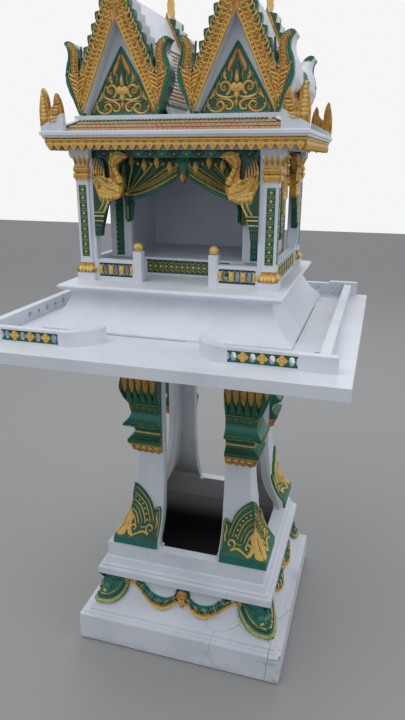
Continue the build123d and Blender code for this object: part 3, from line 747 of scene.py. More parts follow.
def column_zones(g, x, y, z):
    """Gold capital and base, and a green strip on each side of the shaft."""
    bands = (z.between(1456.0, 1488.0) + z.between(1218.5, 1244.0)).least(1.0)
    off_x = abs(abs(x) - COLUMN_OFF[0])
    off_y = abs(abs(y - HOUSE[1]) - COLUMN_OFF[1])
    strip = off_x.least(off_y).below(9.5) * z.between(STRIP_FOOT, STRIP_TOP)
    return [(bands, "gold"), (strip * upright(g), "green")]


def front_arch_zones(g, x, y, z):
    """Green head beam between the columns."""
    return [(z.above(1504.0) * abs(x).below(215.0), "green")]


def side_arch_zones(g, x, y, z):
    """Green head beam and green strips on the pilasters."""
    strip = z.between(1262.0, STRIP_TOP) * abs(abs(y - HOUSE[1]) - 164.5).below(6.0)
    return [(z.above(1504.0), "green"), (strip, "green")]


def room_arch_zones(g, x, y, z):
    """Green head beam, and a green strip beside the doorway."""
    return [(z.above(1494.0), "green"), (abs(x).between(176.0, 199.0) * z.between(1252.0, 1500.0), "green")]


def riser_zones(g, x, y, z):
    """Green panel below the room's floor, between the posts."""
    return [(z.between(1204.0, 1242.0) * y.below(-171.0) * abs(x).below(118.0), "green")]


def balustrade_zones(g, x, y, z):
    """Grey painted as shade on the sunk panel, with a green edge above and below."""
    sunk = y.between(-278.0, -276.0)
    edge = (abs(z - 1226.0) - 13.5).above(0.0)
    return [(sunk, "grey"), (sunk * edge, "green")]


def post_zones(g, x, y, z):
    """Pale gold balls."""
    return [(z.above(1277.2), "gold_pale")]


def swan_zones(g, x, y, z):
    """Green stand, and deep green painted as shade behind the wing and in the corner next to the pilaster."""
    side = abs(x).above(230.0)
    reach = side * (153.0 - abs(y - HOUSE[1])) + (1.0 - side) * (214.0 - abs(x))
    wing = z.above(1454.0) * reach.below(40.0)
    under = z.below(1454.0) * (reach + (z - 1402.0) * 0.36).below(18.0)
    return [(z.above(1402.0), "gold"), (z.below(1402.0), "green"), ((under + wing).least(1.0), "green_dark")]


def cornice_zones(g, x, y, z):
    """Gold bed moulding."""
    return [(z.below(1551.5), "gold")]


def hip_zones(g, x, y, z):
    """Gold where the finials rise from the white hips."""
    hip = SKIRT_FOOT + (329.0 - abs(x - EAVES[0])).most(0.0) * 0.5
    return [((z - hip).above(8.0), "gold")]


def plate_zones(g, x, y, z):
    """Painted shadow: dark lines on the plate along the foot of the house, at its front and its right side.
    """
    front = abs(y + 399.8).below(1.3) * abs(x + 130.0).below(200.0)
    right = abs(x - 324.8).below(1.3) * y.between(-330.0, 60.0)
    return [(z.above(1083.0) * (front + right).least(1.0), "black")]


def board_zones(centre):
    """Zones of one bargeboard: bronze face, green sides and teeth, blue-green horn."""
    def zones(g, x, y, z):
        off = abs(x - centre)
        w = z - GABLE_FOOT
        face = abs(g.facing()[1]).above(0.6)
        beyond = off + w * GABLE_SLOPE - GABLE_HALF
        teeth = beyond.above(38.0) * w.above(108.0) * off.below(100.0)
        rim = GABLE_HALF + 2.0 + w * 0.42 - (w - 84.0).most(0.0) * 0.68 + (w - 129.0).most(0.0) * 0.55
        horn = (off - rim).above(-9.0) * off.above(97.0) + off.above(97.0) * w.above(154.0)
        slot = off.between(91.0, 101.5) * w.between(84.0, 150.0)
        near = abs(y - HOUSE[1]).above(194.0)
        inward = (x - centre if centre < 0.0 else centre - x).above(HORN_FROM)
        outward = off.above(HORN_FROM) * near
        tooth_sides = beyond.above(30.0) * near * w.above(93.0)
        sides = (1.0 - face) * (outward + inward + tooth_sides)
        return [(sides.least(1.0), "green"), (face, "bronze"), (face * teeth, "green"),
                (face * horn.least(1.0), "teal"), (slot, "green_dark")]
    return zones


def pediment_zones(g, x, y, z):
    """Green field with a blue-green foot."""
    w = z - GABLE_FOOT
    off = abs(x - GABLES[0]).least(abs(x - GABLES[1]))
    reach = off + w * (PEDIMENT_HALF / PEDIMENT_RISE)
    field = reach.below(89.6) * w.above(3.2)
    return [(field, "green"), (field * w.below(15.0), "teal")]


# Sizes and colours that a user may change

def paint_colour(name, description, default):
    """A colour that a user may change."""
    return FloatVectorProperty(name=name, description=description, subtype="COLOR", size=3, default=default,
                               min=0, max=1)


class ShrineColours(bpy.types.PropertyGroup):
    white: paint_colour("White paint", "White of the body", (0.69, 0.73, 0.79))
    white_shade: paint_colour("White paint, thin", "White where the coat is thin", (0.60, 0.64, 0.70))
    rain: paint_colour("Rain streak", "Grey of the rain streaks", (0.44, 0.45, 0.45))
    # Darker, browner colour near the ground on the block and the tier.
    foot_tone: paint_colour("Foot tone", "Darker, browner colour near the ground", (0.36, 0.34, 0.31))
    moss: paint_colour("Moss", "Green growth on the foot", (0.17, 0.22, 0.13))
    # Also the colour of the painted shade on the floor of the well and of the painted shadow lines on the
    # plate.
    crack: paint_colour("Dark gaps", "Hairline cracks and dark hollows", (0.018, 0.018, 0.022))
    green: paint_colour("Green", "Green of the carving", (0.004, 0.13, 0.06))
    green_dark: paint_colour("Green, deep", "Green in the hollows", (0.002, 0.045, 0.028))
    teal: paint_colour("Teal", "Blue green of the borders", (0.004, 0.15, 0.14))
    olive: paint_colour("Olive", "Pleats of the curtain", (0.26, 0.22, 0.06))
    lime: paint_colour("Yellow green", "Borders of the corner leaves", (0.38, 0.40, 0.12))
    gold: paint_colour("Gold", "Gold paint", (0.60, 0.32, 0.05))
    gold_dark: paint_colour("Gold, deep", "Gold in the hollows", (0.24, 0.105, 0.018))
    gold_pale: paint_colour("Gold, pale", "Gold lines", (0.66, 0.50, 0.17))
    gold_red: paint_colour("Gold, reddish", "Reddish gold of flames and gems", (0.60, 0.21, 0.07))
    tile: paint_colour("Tile", "Roof tile", (0.40, 0.24, 0.12))
    tile_pale: paint_colour("Tile, pale", "Faded roof tile", (0.42, 0.32, 0.20))
    tile_red: paint_colour("Tile, red", "Reddish roof tile", (0.42, 0.15, 0.07))
    # Grey painted as shade inside the well and the legs and on the sunk balustrade panels.
    painted_shade_grey: paint_colour("Painted shade grey", "Grey painted as shade in hollows", (0.40, 0.39, 0.37))


class ShrineSizes(bpy.types.PropertyGroup):
    relief: FloatProperty(name="Carving height", description="Height of the carved lines, in millimetres",
                          default=3.0, min=1.0, max=6.0)
    tile_pitch: FloatProperty(name="Tile pitch",
                              description="Distance between tiles of a row, in millimetres",
                              default=12.0, min=6.0, max=30.0)
    fringe_pitch: FloatProperty(name="Fringe pitch",
                                description="Distance between the eaves pendants, in millimetres",
                                default=22.0, min=10.0, max=60.0)
    pleats: IntProperty(name="Pleats", description="Pleats of each half of the curtain",
                        default=11, min=4, max=30)


# One step for each piece or group of pieces

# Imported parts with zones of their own: the parts, their zones, their base coat and their age.
ZONED_PARTS = (
    (("plinth_block",), block_zones, "white", 1.0),
    (("plinth_tier",), tier_zones, "white", 0.6),
    (("neck_tier",), neck_zones, "white", 0.0),
    (("tower",), tower_zones, "white", 0.0),
    (("plate",), plate_zones, "white", 0.0),
    (("leg_capitals",), capital_zones, "green", 0.0),
    (("leg_leaves",), leaf_zones, "green", 0.0),
    (("front_left_column", "front_right_column", "rear_columns"), column_zones, "white", 0.0),
    (("front_left_railing", "front_right_railing"), railing_zones, "white", 0.0),
    (("front_arch",), front_arch_zones, "white", 0.0),
    (("side_arches",), side_arch_zones, "white", 0.0),
    (("room_front_arch",), room_arch_zones, "white", 0.0),
    (("room_floor",), riser_zones, "white", 0.0),
    (("balustrades",), balustrade_zones, "white", 0.0),
    (("rail_posts",), post_zones, "white", 0.0),
    (("eaves_cornice",), cornice_zones, "white", 0.0),
    (("hip_finials",), hip_zones, "white", 0.0),
    (("front_swans", "side_swans"), swan_zones, "gold", 0.0),
    (("front_pediments", "rear_pediments"), pediment_zones, "white", 0.0),
    (("front_left_bargeboard", "rear_left_bargeboard"), board_zones(GABLES[0]), "white", 0.0),
    (("front_right_bargeboard", "rear_right_bargeboard"), board_zones(GABLES[1]), "white", 0.0),
)

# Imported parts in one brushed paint.
BRUSHED_PARTS = (
    (("front_swag", "side_swags", "rear_swag"), "teal"),
    # The valances' deep gold is painted shade: it makes the gaps between the gilt pendants read dark.
    (("front_valance", "side_valances", "rear_valance"), "bronze"),
    (("gable_finials",), "gold"),
    (("curtain",), "green"),
)


class SHRINE_OT_body(bpy.types.Operator):
    """Paints the cast body of the shrine"""
    bl_idname = "shrine.body"
    bl_label = "Paint the body"

    def execute(self, context):
        white = zoned("white_cement", no_zones)
        for name in nodes:
            paint_node(name, white)
        for parts, zones, base, age in ZONED_PARTS:
            coat = zoned(parts[0] + "_coat", zones, base, age)
            for name in parts:
                paint_node(name, coat)
        for parts, paint in BRUSHED_PARTS:
            for name in parts:
                paint_node(name, finish(paint))
        return {"FINISHED"}


# Where the carving of a leg capital starts, and its half width at each height, in millimetres.
CAPITAL_INNER = 103.0
CAPITAL_REACH = ((652, 186), (684, 204), (694, 204), (712, 186), (722, 185), (743, 213), (749, 212),
                 (780, 193), (836, 207), (864, 214), (1056, 213))


def capital_reach(v):
    for (low, a), (high, b) in zip(CAPITAL_REACH, CAPITAL_REACH[1:]):
        if v <= high:
            return a + (b - a) * (v - low) / (high - low)
    return CAPITAL_REACH[-1][1]


class SHRINE_OT_capitals(bpy.types.Operator):
    """Carves petals, leaves and bands on the leg capitals"""
    bl_idname = "shrine.capitals"
    bl_label = "Carve the leg capitals"

    def execute(self, context):
        relief = context.scene.shrine_sizes.relief
        skin = surface_of("leg_capitals", "tower")
        carving = Relief("capital_carving", "gold", "gold_pale", "green", "green_dark", "olive", "bronze")
        for turn in range(4):
            for hand in (1, -1):
                g = side_ground(turn, 195.0, TOWER, skin).turned(hand)
                self.petals(carving, g, relief)
                self.mouldings(carving, g, relief)
        carving.settle("green_gold")
        return {"FINISHED"}

    def petals(self, carving, g, relief):
        """Tall bronze petals with gold ribs, and green leaves between their feet."""
        count = 5
        pitch = 108.0 / count
        for k in range(count):
            u = CAPITAL_INNER + pitch * (k + 0.5)
            petal = mirrored(u, [(9.6, 1046), (10, 910), (8.5, 868), (0, 846)])
            carving.leaf(g, petal, relief * 1.6, "bronze", 2)
            carving.stroke(g, [(u, 1040), (u, 960), (u, 872)], (2.5, 3.5, 1.5), relief * 2.1, "gold", 4)
        for k in range(count + 1):
            u = CAPITAL_INNER + pitch * k
            left, right = max(u - 10.6, CAPITAL_INNER), min(u + 10.6, 212)
            top = 890 if k % 2 else 902
            carving.leaf(g, [(left, 814), (left + 1, 836), (u - 2.5, top - 18), (u, top), (u + 2.5, top - 18),
                             (right - 1, 836), (right, 814)], relief * 2.4, "green", 2)

    def mouldings(self, carving, g, relief):
        """Bands round the mouldings, small leaves between them and a hem of drops."""
        for v, wide, tall, paint in ((812, 4.0, 2.4, "olive"), (788, 3.0, 1.6, "green_dark"),
                                     (752, 3.0, 1.6, "olive"), (738, 2.5, 1.6, "green_dark"),
                                     (715, 6.0, 3.2, "gold_pale"), (703, 3.0, 1.6, "green_dark"),
                                     (681, 3.0, 2.0, "gold_pale")):
            carving.stroke(g, [(CAPITAL_INNER, v), (capital_reach(v) - 1, v)], wide, tall, paint, 4)
        for k in range(5):
            u = CAPITAL_INNER + 10 + 19.5 * k
            carving.strokes(
                g, ([(u - 9, 741), (u - 2, 747), (u + 7, 743)], (1.5, 4.5, 1.5), relief * 0.9, "olive", 3),
                ([(u - 8, 806), (u - 3, 792), (u + 3, 792), (u + 8, 806)], (2, 3, 2), relief * 0.7,
                 "olive", 3))
            carving.boss(g, u + 2, 739, 2.4, 2.0, relief * 0.8, "gold_pale", 6)
            carving.boss(g, u, 801, 2.6, 3.4, relief * 0.8, "bronze", 8)
        for k in range(4):
            u = CAPITAL_INNER + 10.5 + 20.5 * k
            carving.leaf(g, mirrored(u, [(10, 664), (9, 652), (0, 641)]), relief, "bronze", 3)
            carving.boss(g, u, 668, 7, 6, relief * 0.8, "gold", 10)


class SHRINE_OT_foot_leaves(bpy.types.Operator):
    """Carves the flame leaves that wrap the foot of each leg"""
    bl_idname = "shrine.foot_leaves"
    bl_label = "Carve the foot leaves"

    def execute(self, context):
        relief = context.scene.shrine_sizes.relief
        skin = surface_of("leg_leaves", "tower")
        carving = Relief("foot_leaf_carving", "gold", "gold_pale", "teal", "lime")
        for turn in range(4):
            for hand in (1, -1):
                g = side_ground(turn, 215.0, TOWER, skin).turned(hand)
                self.fan(carving, g, relief)
                self.flame(carving, g, relief)
                self.scrolls(carving, g, relief)
        carving.settle("green_gold")
        return {"FINISHED"}

    def fan(self, carving, g, relief):
        """Bent lines that repeat the leaf's edge closer and closer to its hub, and a row of beads."""
        edge = [(183, 532), (160, 513), (141, 487), (128, 455), (119, 424)]
        hub_u, hub_v = 207, 398
        for share, spread, wide, paint in ((0.96, 1.0, 4.5, "lime"), (0.82, 1.02, 3.5, "gold_pale"),
                                           (0.64, 1.02, 4.0, "gold_pale"), (0.52, 1.02, 4.0, "lime"),
                                           (0.40, 1.02, 4.0, "gold_pale"), (0.29, 1.02, 4.5, "gold")):
            path = [(hub_u + share * spread * (u - hub_u), hub_v + share * (v - hub_v)) for u, v in edge]
            carving.stroke(g, path, (wide * 0.6, wide, wide * 0.8), relief * 1.1, paint, 6)
        for u, v in smooth(edge, 6)[2::4]:
            carving.boss(g, hub_u + 0.735 * (u - hub_u), hub_v + 0.735 * (v - hub_v), 3.4, 3.4, relief * 0.9,
                         "gold_pale", 8)

    def flame(self, carving, g, relief):
        """Gold flame on the corner, with a pale heart."""
        outline = [(203, 462), (211, 430), (220, 398), (238, 374), (214, 374), (206, 388), (197, 376),
                   (182, 374), (191, 388), (194, 408), (189, 424), (196, 440)]
        heart = [(204, 444), (209, 420), (215, 398), (208, 392), (200, 404), (199, 424)]
        carving.leaf(g, outline, relief * 2.0, "gold", 3)
        carving.leaf(g, heart, relief * 2.7, "gold_pale", 3)

    def scrolls(self, carving, g, relief):
        """The small wing at the opening, the curls and the lines beside the flame."""
        carving.strokes(
            g, ([(104, 384), (104, 445), (108, 463), (118, 462), (126, 452)], (3, 4.5, 3), relief * 0.9,
                "lime"),
            ([(111, 452), (114, 436), (110, 420), (113, 404)], (2, 5, 3), relief, "gold", 4),
            ([(134, 384), (152, 390), (170, 384), (190, 374)], (4, 5, 3), relief * 1.3, "gold"),
            ([(146, 404), (158, 400), (166, 404)], (3, 4, 2), relief, "lime", 4),
            ([(221, 434), (226, 408), (236, 388)], (2, 4, 3), relief, "lime"),
            ([(208, 476), (214, 450), (222, 430)], (2, 4, 2), relief, "gold_pale"),
            ([(104, 369), (170, 369), (237, 369)], 4.0, relief * 0.9, "teal", 4))
        carving.curl(g, 184, 396, 10, 0.2, 4.8, 5.0, relief * 1.5, "gold")
        carving.curl(g, 131, 400, 15, -1.4, 6.6, 5.0, relief * 1.4, "gold_pale")


class SHRINE_OT_swags(bpy.types.Operator):
    """Carves garlands, knobs and corner leaves on the sloping tier"""
    bl_idname = "shrine.swags"
    bl_label = "Carve the swags"

    def execute(self, context):
        relief = context.scene.shrine_sizes.relief
        skin = surface_of("front_swag", "side_swags", "rear_swag", "plinth_tier")
        carving = Relief("swag_carving", "gold", "gold_pale", "teal", "green_dark", "lime", "bronze")
        for turn in range(4):
            side = side_ground(turn, 275.0, LEDGE, skin)
            for hand in (1, -1):
                self.garland(carving, side.turned(hand), relief)
                self.corner_leaf(carving, side.turned(hand), relief)
            self.knob(carving, side, relief)
        carving.settle("green_gold")
        return {"FINISHED"}

    def garland(self, carving, g, relief):
        """Half a garland: a gold lower strand, a leafy upper one and a rosette at its end."""
        lower = [(12, 188), (32, 170), (62, 157), (98, 163), (130, 184), (158, 206), (184, 222)]
        upper = [(16, 202), (36, 186), (64, 175), (94, 181), (122, 202), (150, 221), (176, 229)]
        ridge = [(u, v + 7) for u, v in lower[1:-1]]
        carving.strokes(g, (lower, (9, 12, 9), relief * 1.8, "gold", 6),
                        (ridge, (5, 7, 5), relief * 2.4, "bronze", 6),
                        (upper, (8, 13, 7), relief * 1.8, "teal", 6))
        crest = smooth(upper, 4)
        for k in range(2, len(crest) - 2, 2):
            u, v = crest[k]
            carving.stroke(g, [(u - 7, v + 6), (u, v + 1), (u + 5, v - 8)], (1.5, 3.5, 1.5), relief * 2.5,
                           "gold_pale" if k % 4 else "green_dark", 3)
        carving.boss(g, 184, 219, 10, 8, relief * 2.6, "bronze", 12)
        carving.curl(g, 184, 219, 9, 2.6, -4.6, 4.0, relief * 2.6, "gold")

    def corner_leaf(self, carving, g, relief):
        """Half of the leaf that folds round a corner of the tier."""
        border = [(180, 222), (187, 200), (206, 167), (232, 147), (264, 141), (299, 144)]
        inside = [(190, 224), (197, 202), (214, 175), (238, 159), (266, 154), (298, 158)]
        vein = [(u + 7, v + 8) for u, v in inside[1:-1]]
        carving.strokes(
            g, (border, (7, 12, 10), relief * 1.8, "lime", 6),
            (inside, (2, 3.5, 2), relief * 1.5, "green_dark", 6),
            (vein, (2, 2.5, 2), relief * 1.3, "gold_pale"),
            ([(232, 182), (238, 206), (258, 219), (294, 220)], (3, 7, 3), relief * 1.5, "teal"),
            ([(204, 226), (222, 212), (236, 212)], (3, 5, 2), relief, "green_dark", 4),
            ([(276, 200), (286, 190), (298, 186)], (2, 4, 2), relief, "lime", 4))
        carving.leaf(g, [(238, 178), (252, 167), (272, 174), (270, 190), (248, 198)], relief * 2.4, "teal", 3)
        carving.leaf(g, [(250, 176), (258, 172), (267, 177), (262, 184)], relief * 3.2, "gold_pale", 3)

    def knob(self, carving, g, relief):
        """Round knob with a tassel, in the middle of a side."""
        carving.boss(g, 0, 206, 20, 18, relief * 2.6, "bronze", 18)
        carving.curl(g, 0, 206, 23, -0.9, 5.0, 5.5, relief * 1.8, "green_dark", 0.92)
        carving.curl(g, 2, 204, 13, 3.3, 5.0, 4.0, relief * 3.3, "gold")
        for u, low in ((-9, 176), (-3, 166), (3, 166), (9, 176)):
            carving.stroke(g, [(u * 0.6, 194), (u * 1.1, 182), (u, low)], (4, 6.5, 3.5), relief * 2.0,
                           "gold", 4)


class SHRINE_OT_tray(bpy.types.Operator):
    """Carves flowers on the sunk panels of the tray railings"""
    bl_idname = "shrine.tray"
    bl_label = "Carve the tray railings"

    def execute(self, context):
        relief = context.scene.shrine_sizes.relief
        carving = Relief("railing_carving", "gold", "gold_pale", "bronze", "teal", "white")
        middle_u = (PANEL_FROM + PANEL_TO) / 2
        middle_v = 1102
        for hand in (1, -1):
            g = side_ground(0, 524.0).turned(hand)
            for k in (-1, 0, 1):
                self.flower(carving, g, middle_u + 42 * k, middle_v, relief)
            for k in (-1.5, -0.5, 0.5, 1.5):
                carving.curl(g, middle_u + 42 * k, middle_v, 10.5, 0.0, 2 * math.pi, 2.2, relief * 0.6,
                             "teal", 1.0)
            for way in (-1, 1):
                carving.boss(g, middle_u + 75.5 * way, middle_v, 4.5, 8.5, relief * 0.4, "white", 14)
                for v in (middle_v - 11, middle_v + 11):
                    carving.boss(g, middle_u + 70.5 * way, v, 3.5, 2.4, relief * 0.7, "teal", 8)
            carving.bands(g, PANEL_FROM, PANEL_TO, [(middle_v + 14 * way, 1.8, relief * 0.5, "teal")
                                                    for way in (-1, 1)], 6)
        carving.settle("green_gold")
        return {"FINISHED"}

    def flower(self, carving, g, u, v, relief):
        """Eight petals, a ring of beads and a round heart."""
        carving.petals(g, u, v, 13.0, relief * 0.9, "gold", 4, 0.0, 0.5)
        carving.petals(g, u, v, 9.5, relief, "gold", 4, math.pi / 4, 0.4)
        for k in range(8):
            angle = math.pi * k / 4
            carving.boss(g, u + 7 * math.cos(angle), v + 7 * math.sin(angle), 1.7, 1.7, relief * 1.5,
                         "bronze" if k % 2 else "gold_pale", 6)
        carving.boss(g, u, v, 3.6, 3.6, relief * 1.7, "gold", 10)


class SHRINE_OT_columns(bpy.types.Operator):
    """Carves petals, rings and strips on the four columns"""
    bl_idname = "shrine.columns"
    bl_label = "Carve the columns"

    def execute(self, context):
        relief = context.scene.shrine_sizes.relief
        carving = Relief("column_carving", "gold", "gold_pale", "teal", "bronze")
        tree = row_tree()
        rows = []
        for side_x in (1, -1):
            for side_y in (1, -1):
                centre = (side_x * COLUMN_OFF[0], HOUSE[1] + side_y * COLUMN_OFF[1])
                skin = surface_of(self.column_name(side_x, side_y))
                outward = (0 if side_y < 0 else 2, 1 if side_x > 0 else 3)
                for turn in range(4):
                    self.capital_and_base(carving, side_ground(turn, 21.0, centre, skin), relief)
                for turn in outward:
                    name = "strip_%d_%d_%d" % (side_x > 0, side_y > 0, turn)
                    rows.extend(self.strip(carving, side_ground(turn, 17.0, centre), tree, name))
        rows.append(carving.mesh())
        settle("column_carving", joined("column_carving", rows), "gold_paint")
        return {"FINISHED"}

    def column_name(self, side_x, side_y):
        if side_y > 0:
            return "rear_columns"
        return "front_right_column" if side_x > 0 else "front_left_column"

    def capital_and_base(self, carving, g, relief):
        """Three petals over rings and a hem at the top, and four petals round the base."""
        for u in (-13.0, 0.0, 13.0):
            petal = mirrored(u, [(5, 1489), (5.8, 1500), (4, 1508), (0, 1512)])
            heart = mirrored(u, [(2.4, 1490), (3, 1500), (0, 1506)])
            carving.leaf(g, petal, relief * 0.6, "gold_pale", 2)
            carving.leaf(g, heart, relief, "bronze", 2)
        for k in range(4):
            u = -14.4 + 9.6 * k
            carving.leaf(g, mirrored(u, [(4, 1233), (4, 1224), (0, 1219.5)]), relief * 0.6, "gold_pale", 2)
            carving.leaf(g, mirrored(u, [(4, 1459), (3, 1453), (0, 1448)]), relief * 0.5, "gold", 2)
        carving.bands(g, -19, 19, ((1458, 3.0, relief * 0.5, "gold_pale"), (1465, 5.5, relief * 0.5, "gold"),
                                   (1473, 3.0, relief * 0.5, "gold_pale"), (1479, 5.0, relief * 0.5, "gold"),
                                   (1486, 4.0, relief * 0.5, "gold_pale")))

    def strip(self, carving, g, tree, name):
        """Border and lattice of one green strip; hands back the meshes of the lattice."""
        def lozenge(shape, local):
            shape.leaf(local, mirrored(0, [(0, -5), (4, 0), (0, 5)]), 1.6, "gold_pale", 0)

        def lattice(shape, local):
            for hand in (1, -1):
                for way in (1, -1):
                    leaf = [(hand * 8, way * 9), (hand * 4, way * 6.5), (0, way * 9)]
                    shape.stroke(local, leaf, (1, 2, 1), 1.2, "lime", 2)

        for u in (-9.4, 9.4):
            carving.stroke(g, [(u, STRIP_FOOT), (u, STRIP_TOP)], 2.4, 1.0, "teal", 6)
        carving.bands(g, -9.4, 9.4, ((STRIP_FOOT + 1, 2.4, 1.0, "teal"),
                                     (STRIP_TOP - 1, 2.4, 1.0, "teal")), 3)
        first, step, count = (0, STRIP_FOOT + 12, 0), (0, 19.6), 9
        return [row(tree, name, g, lozenge, "gold_pale", first, step, count),
                row(tree, name + "_lattice", g, lattice, "lime", first, step, count)]


class SHRINE_OT_swans(bpy.types.Operator):
    """Carves the swans that stand beside the columns"""
    bl_idname = "shrine.swans"
    bl_label = "Carve the swans"

    def execute(self, context):
        carving = Relief("swan_carving", "gold", "gold_pale", "bronze", "lime", "teal", "green_dark")
        # The side that they stand on, how far out they are carved, and where their pilaster ends.
        for turn, distance, edge in ((0, 209.0, 214.0), (1, 259.0, 153.0), (3, 259.0, 153.0)):
            for hand in (1, -1):
                g = side_ground(turn, distance, HOUSE).turned(-hand).moved(u=-edge)
                self.plate(carving, g.moved(h=-16.0))
                self.body(carving, g)
                self.neck(carving, g)
                self.wing(carving, g)
                self.stand(carving, g)
        carving.settle("gold_paint")
        return {"FINISHED"}

    def plate(self, carving, g):
        """Flat green plate behind the swan."""
        carving.leaf(g, [(0, 1318), (16, 1318), (38, 1398), (76, 1424), (78, 1452), (66, 1480), (66, 1500),
                         (84, 1507), (0, 1507)], 3.0, "green_dark", 0, ((1.0, 0.0), (1.0, 1.0)))

    def body(self, carving, g):
        """Scales on the breast and long feathers over the back."""
        for k in range(6):
            for j in range(5 - abs(k - 3)):
                u, v = 20 + 9.5 * k, 1410 + 9.5 * j + 1.6 * abs(k - 2)
                carving.leaf(g, [(u - 6, v + 7), (u - 5, v), (u + 1, v - 6), (u + 7, v), (u + 5, v + 7)],
                             3.2, "gold" if (k + j) % 2 else "gold_pale", 2)
        for k in range(7):
            lift = 7.2 * k
            feather = [(72 - 3 * k, 1414 + lift * 0.8), (50 - 4 * k, 1418 + lift),
                       (26 - 3 * k, 1440 + lift * 0.7), (14 - 1.6 * k, 1452 + lift * 0.8)]
            carving.stroke(g, feather, (3, 5.5, 2), 4.2, ("gold", "gold_pale", "bronze")[k % 3], 4)

    def neck(self, carving, g):
        """Bent neck with short plumes, head, bill and eye."""
        carving.stroke(g, [(75, 1446), (66, 1468), (58, 1486), (59, 1501), (70, 1510)], (14, 10, 9), 4.5,
                       "gold", 6)
        for k, u in enumerate((76, 70, 65, 60, 57, 58)):
            v = 1444 + 10 * k
            carving.stroke(g, [(u - 7, v + 3), (u, v - 3), (u + 6, v + 4)], (1.5, 3.5, 1.5), 6.2,
                           "gold_pale" if k % 2 else "bronze", 3)
        carving.boss(g, 68, 1510, 9, 5.5, 5.5, "gold", 12)
        carving.boss(g, 70, 1512, 1.8, 1.6, 6.6, "green_dark", 8)
        carving.strokes(g, ([(75, 1511), (85, 1510), (96, 1507)], (6, 4.5, 1.5), 4.5, "gold_pale", 4),
                        ([(60, 1512), (52, 1515), (56, 1507)], (4, 5, 1), 4.5, "gold", 4))

    def wing(self, carving, g):
        """Raised feathers next to the pilaster."""
        for k in range(5):
            u = 5 + 6.5 * k
            carving.stroke(g, [(u + 4, 1450), (u - 1 + 0.5 * k, 1474 - 2 * k), (u + 6 - k, 1504 - 6 * k)],
                           (5.5, 5, 2), 4.0, "gold" if k % 2 else "gold_pale", 5)
        for k in range(4):
            carving.stroke(g, [(6 + 6 * k, 1462), (9 + 6 * k, 1468), (13 + 5 * k, 1463)], (1.5, 3, 1.5), 5.5,
                           "bronze", 3)

    def stand(self, carving, g):
        """Legs and the bands of the stand."""
        carving.strokes(g, ([(30, 1406), (25, 1392), (15, 1376)], (7, 6, 5), 4.5, "lime", 4),
                        ([(42, 1404), (35, 1388), (27, 1374)], (7, 6, 5), 4.5, "gold_pale", 4))
        for v, wide, reach, paint in ((1373, 4, 31, "lime"), (1364, 4, 28, "gold_pale"),
                                      (1352, 5, 25, "lime"), (1341, 3, 21, "teal"),
                                      (1330, 3, 18, "green_dark")):
            carving.stroke(g, [(0.5, v), (reach, v)], wide, 2.6, paint, 3)
        for k in range(3):
            carving.stroke(g, [(5 + 5 * k, 1328), (4 + 5 * k, 1317)], (4, 3, 2), 2.2, "teal", 2)


# Where each half of the curtain is tied back.
TIE_U, TIE_V = 158.0, 1416.0


class SHRINE_OT_curtain(bpy.types.Operator):
    """Carves the looped curtain and its pelmet in the room's doorway"""
    bl_idname = "shrine.curtain"
    bl_label = "Carve the curtain"

    def execute(self, context):
        count = context.scene.shrine_sizes.pleats
        carving = Relief("curtain_carving", "gold", "gold_pale", "green", "teal", "green_dark", "olive",
                         "gold_red", "lime")
        for hand in (1, -1):
            g = side_ground(0, 202.0).turned(hand)
            self.pleats(carving, g, count)
            self.hem_and_tail(carving, g)
        self.pelmet(carving, side_ground(0, 203.0))
        carving.settle("green_gold")
        return {"FINISHED"}

    def pleats(self, carving, g, count):
        """Folds that fan out from the tie: first along the beam, then down the edge of the opening."""
        beam_v, beam_share = 1497.0, 0.55
        for k in range(count):
            t = k / (count - 1)
            past = max(t - beam_share, 0.0) / (1.0 - beam_share)
            u = 6 + 14 * past if past else 6 + 158 * (1 - t / beam_share)
            v = beam_v - 26 * past
            middle_u, middle_v = (TIE_U + u) / 2 + 1, (TIE_V + v) / 2 - 4 - 6 * t
            fold = [(TIE_U, TIE_V), (middle_u, middle_v), (u, v)]
            crest = [(TIE_U - 3, TIE_V + 1), (middle_u, middle_v + 2.2), (u - 1, v + 2)]
            carving.stroke(g, fold, (3, 8, 13), (2.5, 5.0, 4.5), "green", 6)
            carving.stroke(g, crest, (1.5, 4.6, 6.5), (3.4, 7.4, 7.0),
                           ("olive", "gold_pale", "olive", "gold")[k % 4], 6)

    def hem_and_tail(self, carving, g):
        """Gold and blue-green hem, and the tail that hangs from the tie."""
        hem = [(152, 1412), (118, 1419), (84, 1431), (50, 1448), (18, 1466)]
        carving.stroke(g, hem, (4, 7, 6), 6.5, "gold_pale", 6)
        carving.stroke(g, [(u, v - 9) for u, v in hem], (7, 10, 7), 4.0, "teal", 6)
        for k, paint in enumerate(("teal", "green_dark", "lime", "olive")):
            lean = k - 1.5
            u = 147 + 5 * k
            carving.stroke(g, [(TIE_U + lean, 1412), (u, 1384), (u + lean, 1350)], (3, 5, 4), 4.5, paint)
        for k in range(3):
            carving.stroke(g, [(141 + 7 * k, 1408), (146 + 5 * k, 1396), (144 + 6 * k, 1384)], (2, 4, 2), 5.5,
                           "green_dark", 3)
        carving.boss(g, TIE_U, TIE_V, 7, 5, 8.0, "gold", 12)

    def pelmet(self, carving, g):
        """Pointed flaps with a gold pendant on each, the longest in the middle."""
        lows = (1442, 1466, 1478, 1470, 1478)
        for k in range(-4, 5):
            u, low = 35 * k, lows[abs(k)]
            flap = mirrored(u, [(17.5, 1507), (16, 1494), (7, low + 9), (0, low)])
            pendant = mirrored(u, [(0, low + 37), (7, low + 26), (9, low + 16), (4, low + 6), (0, low)])
            heart = mirrored(u, [(0, low + 29), (4, low + 17), (0, low + 9)])
            carving.leaf(g, flap, 9.0, "green_dark" if k else "teal", 2)
            carving.leaf(g, pendant, 12.0, "gold" if k % 4 else "gold_red", 2)
            carving.leaf(g, heart, 14.5, "gold_pale", 2)
            carving.boss(g, u + 17.5, 1492, 3.5, 5.5, 10.0, "gold_pale", 8)


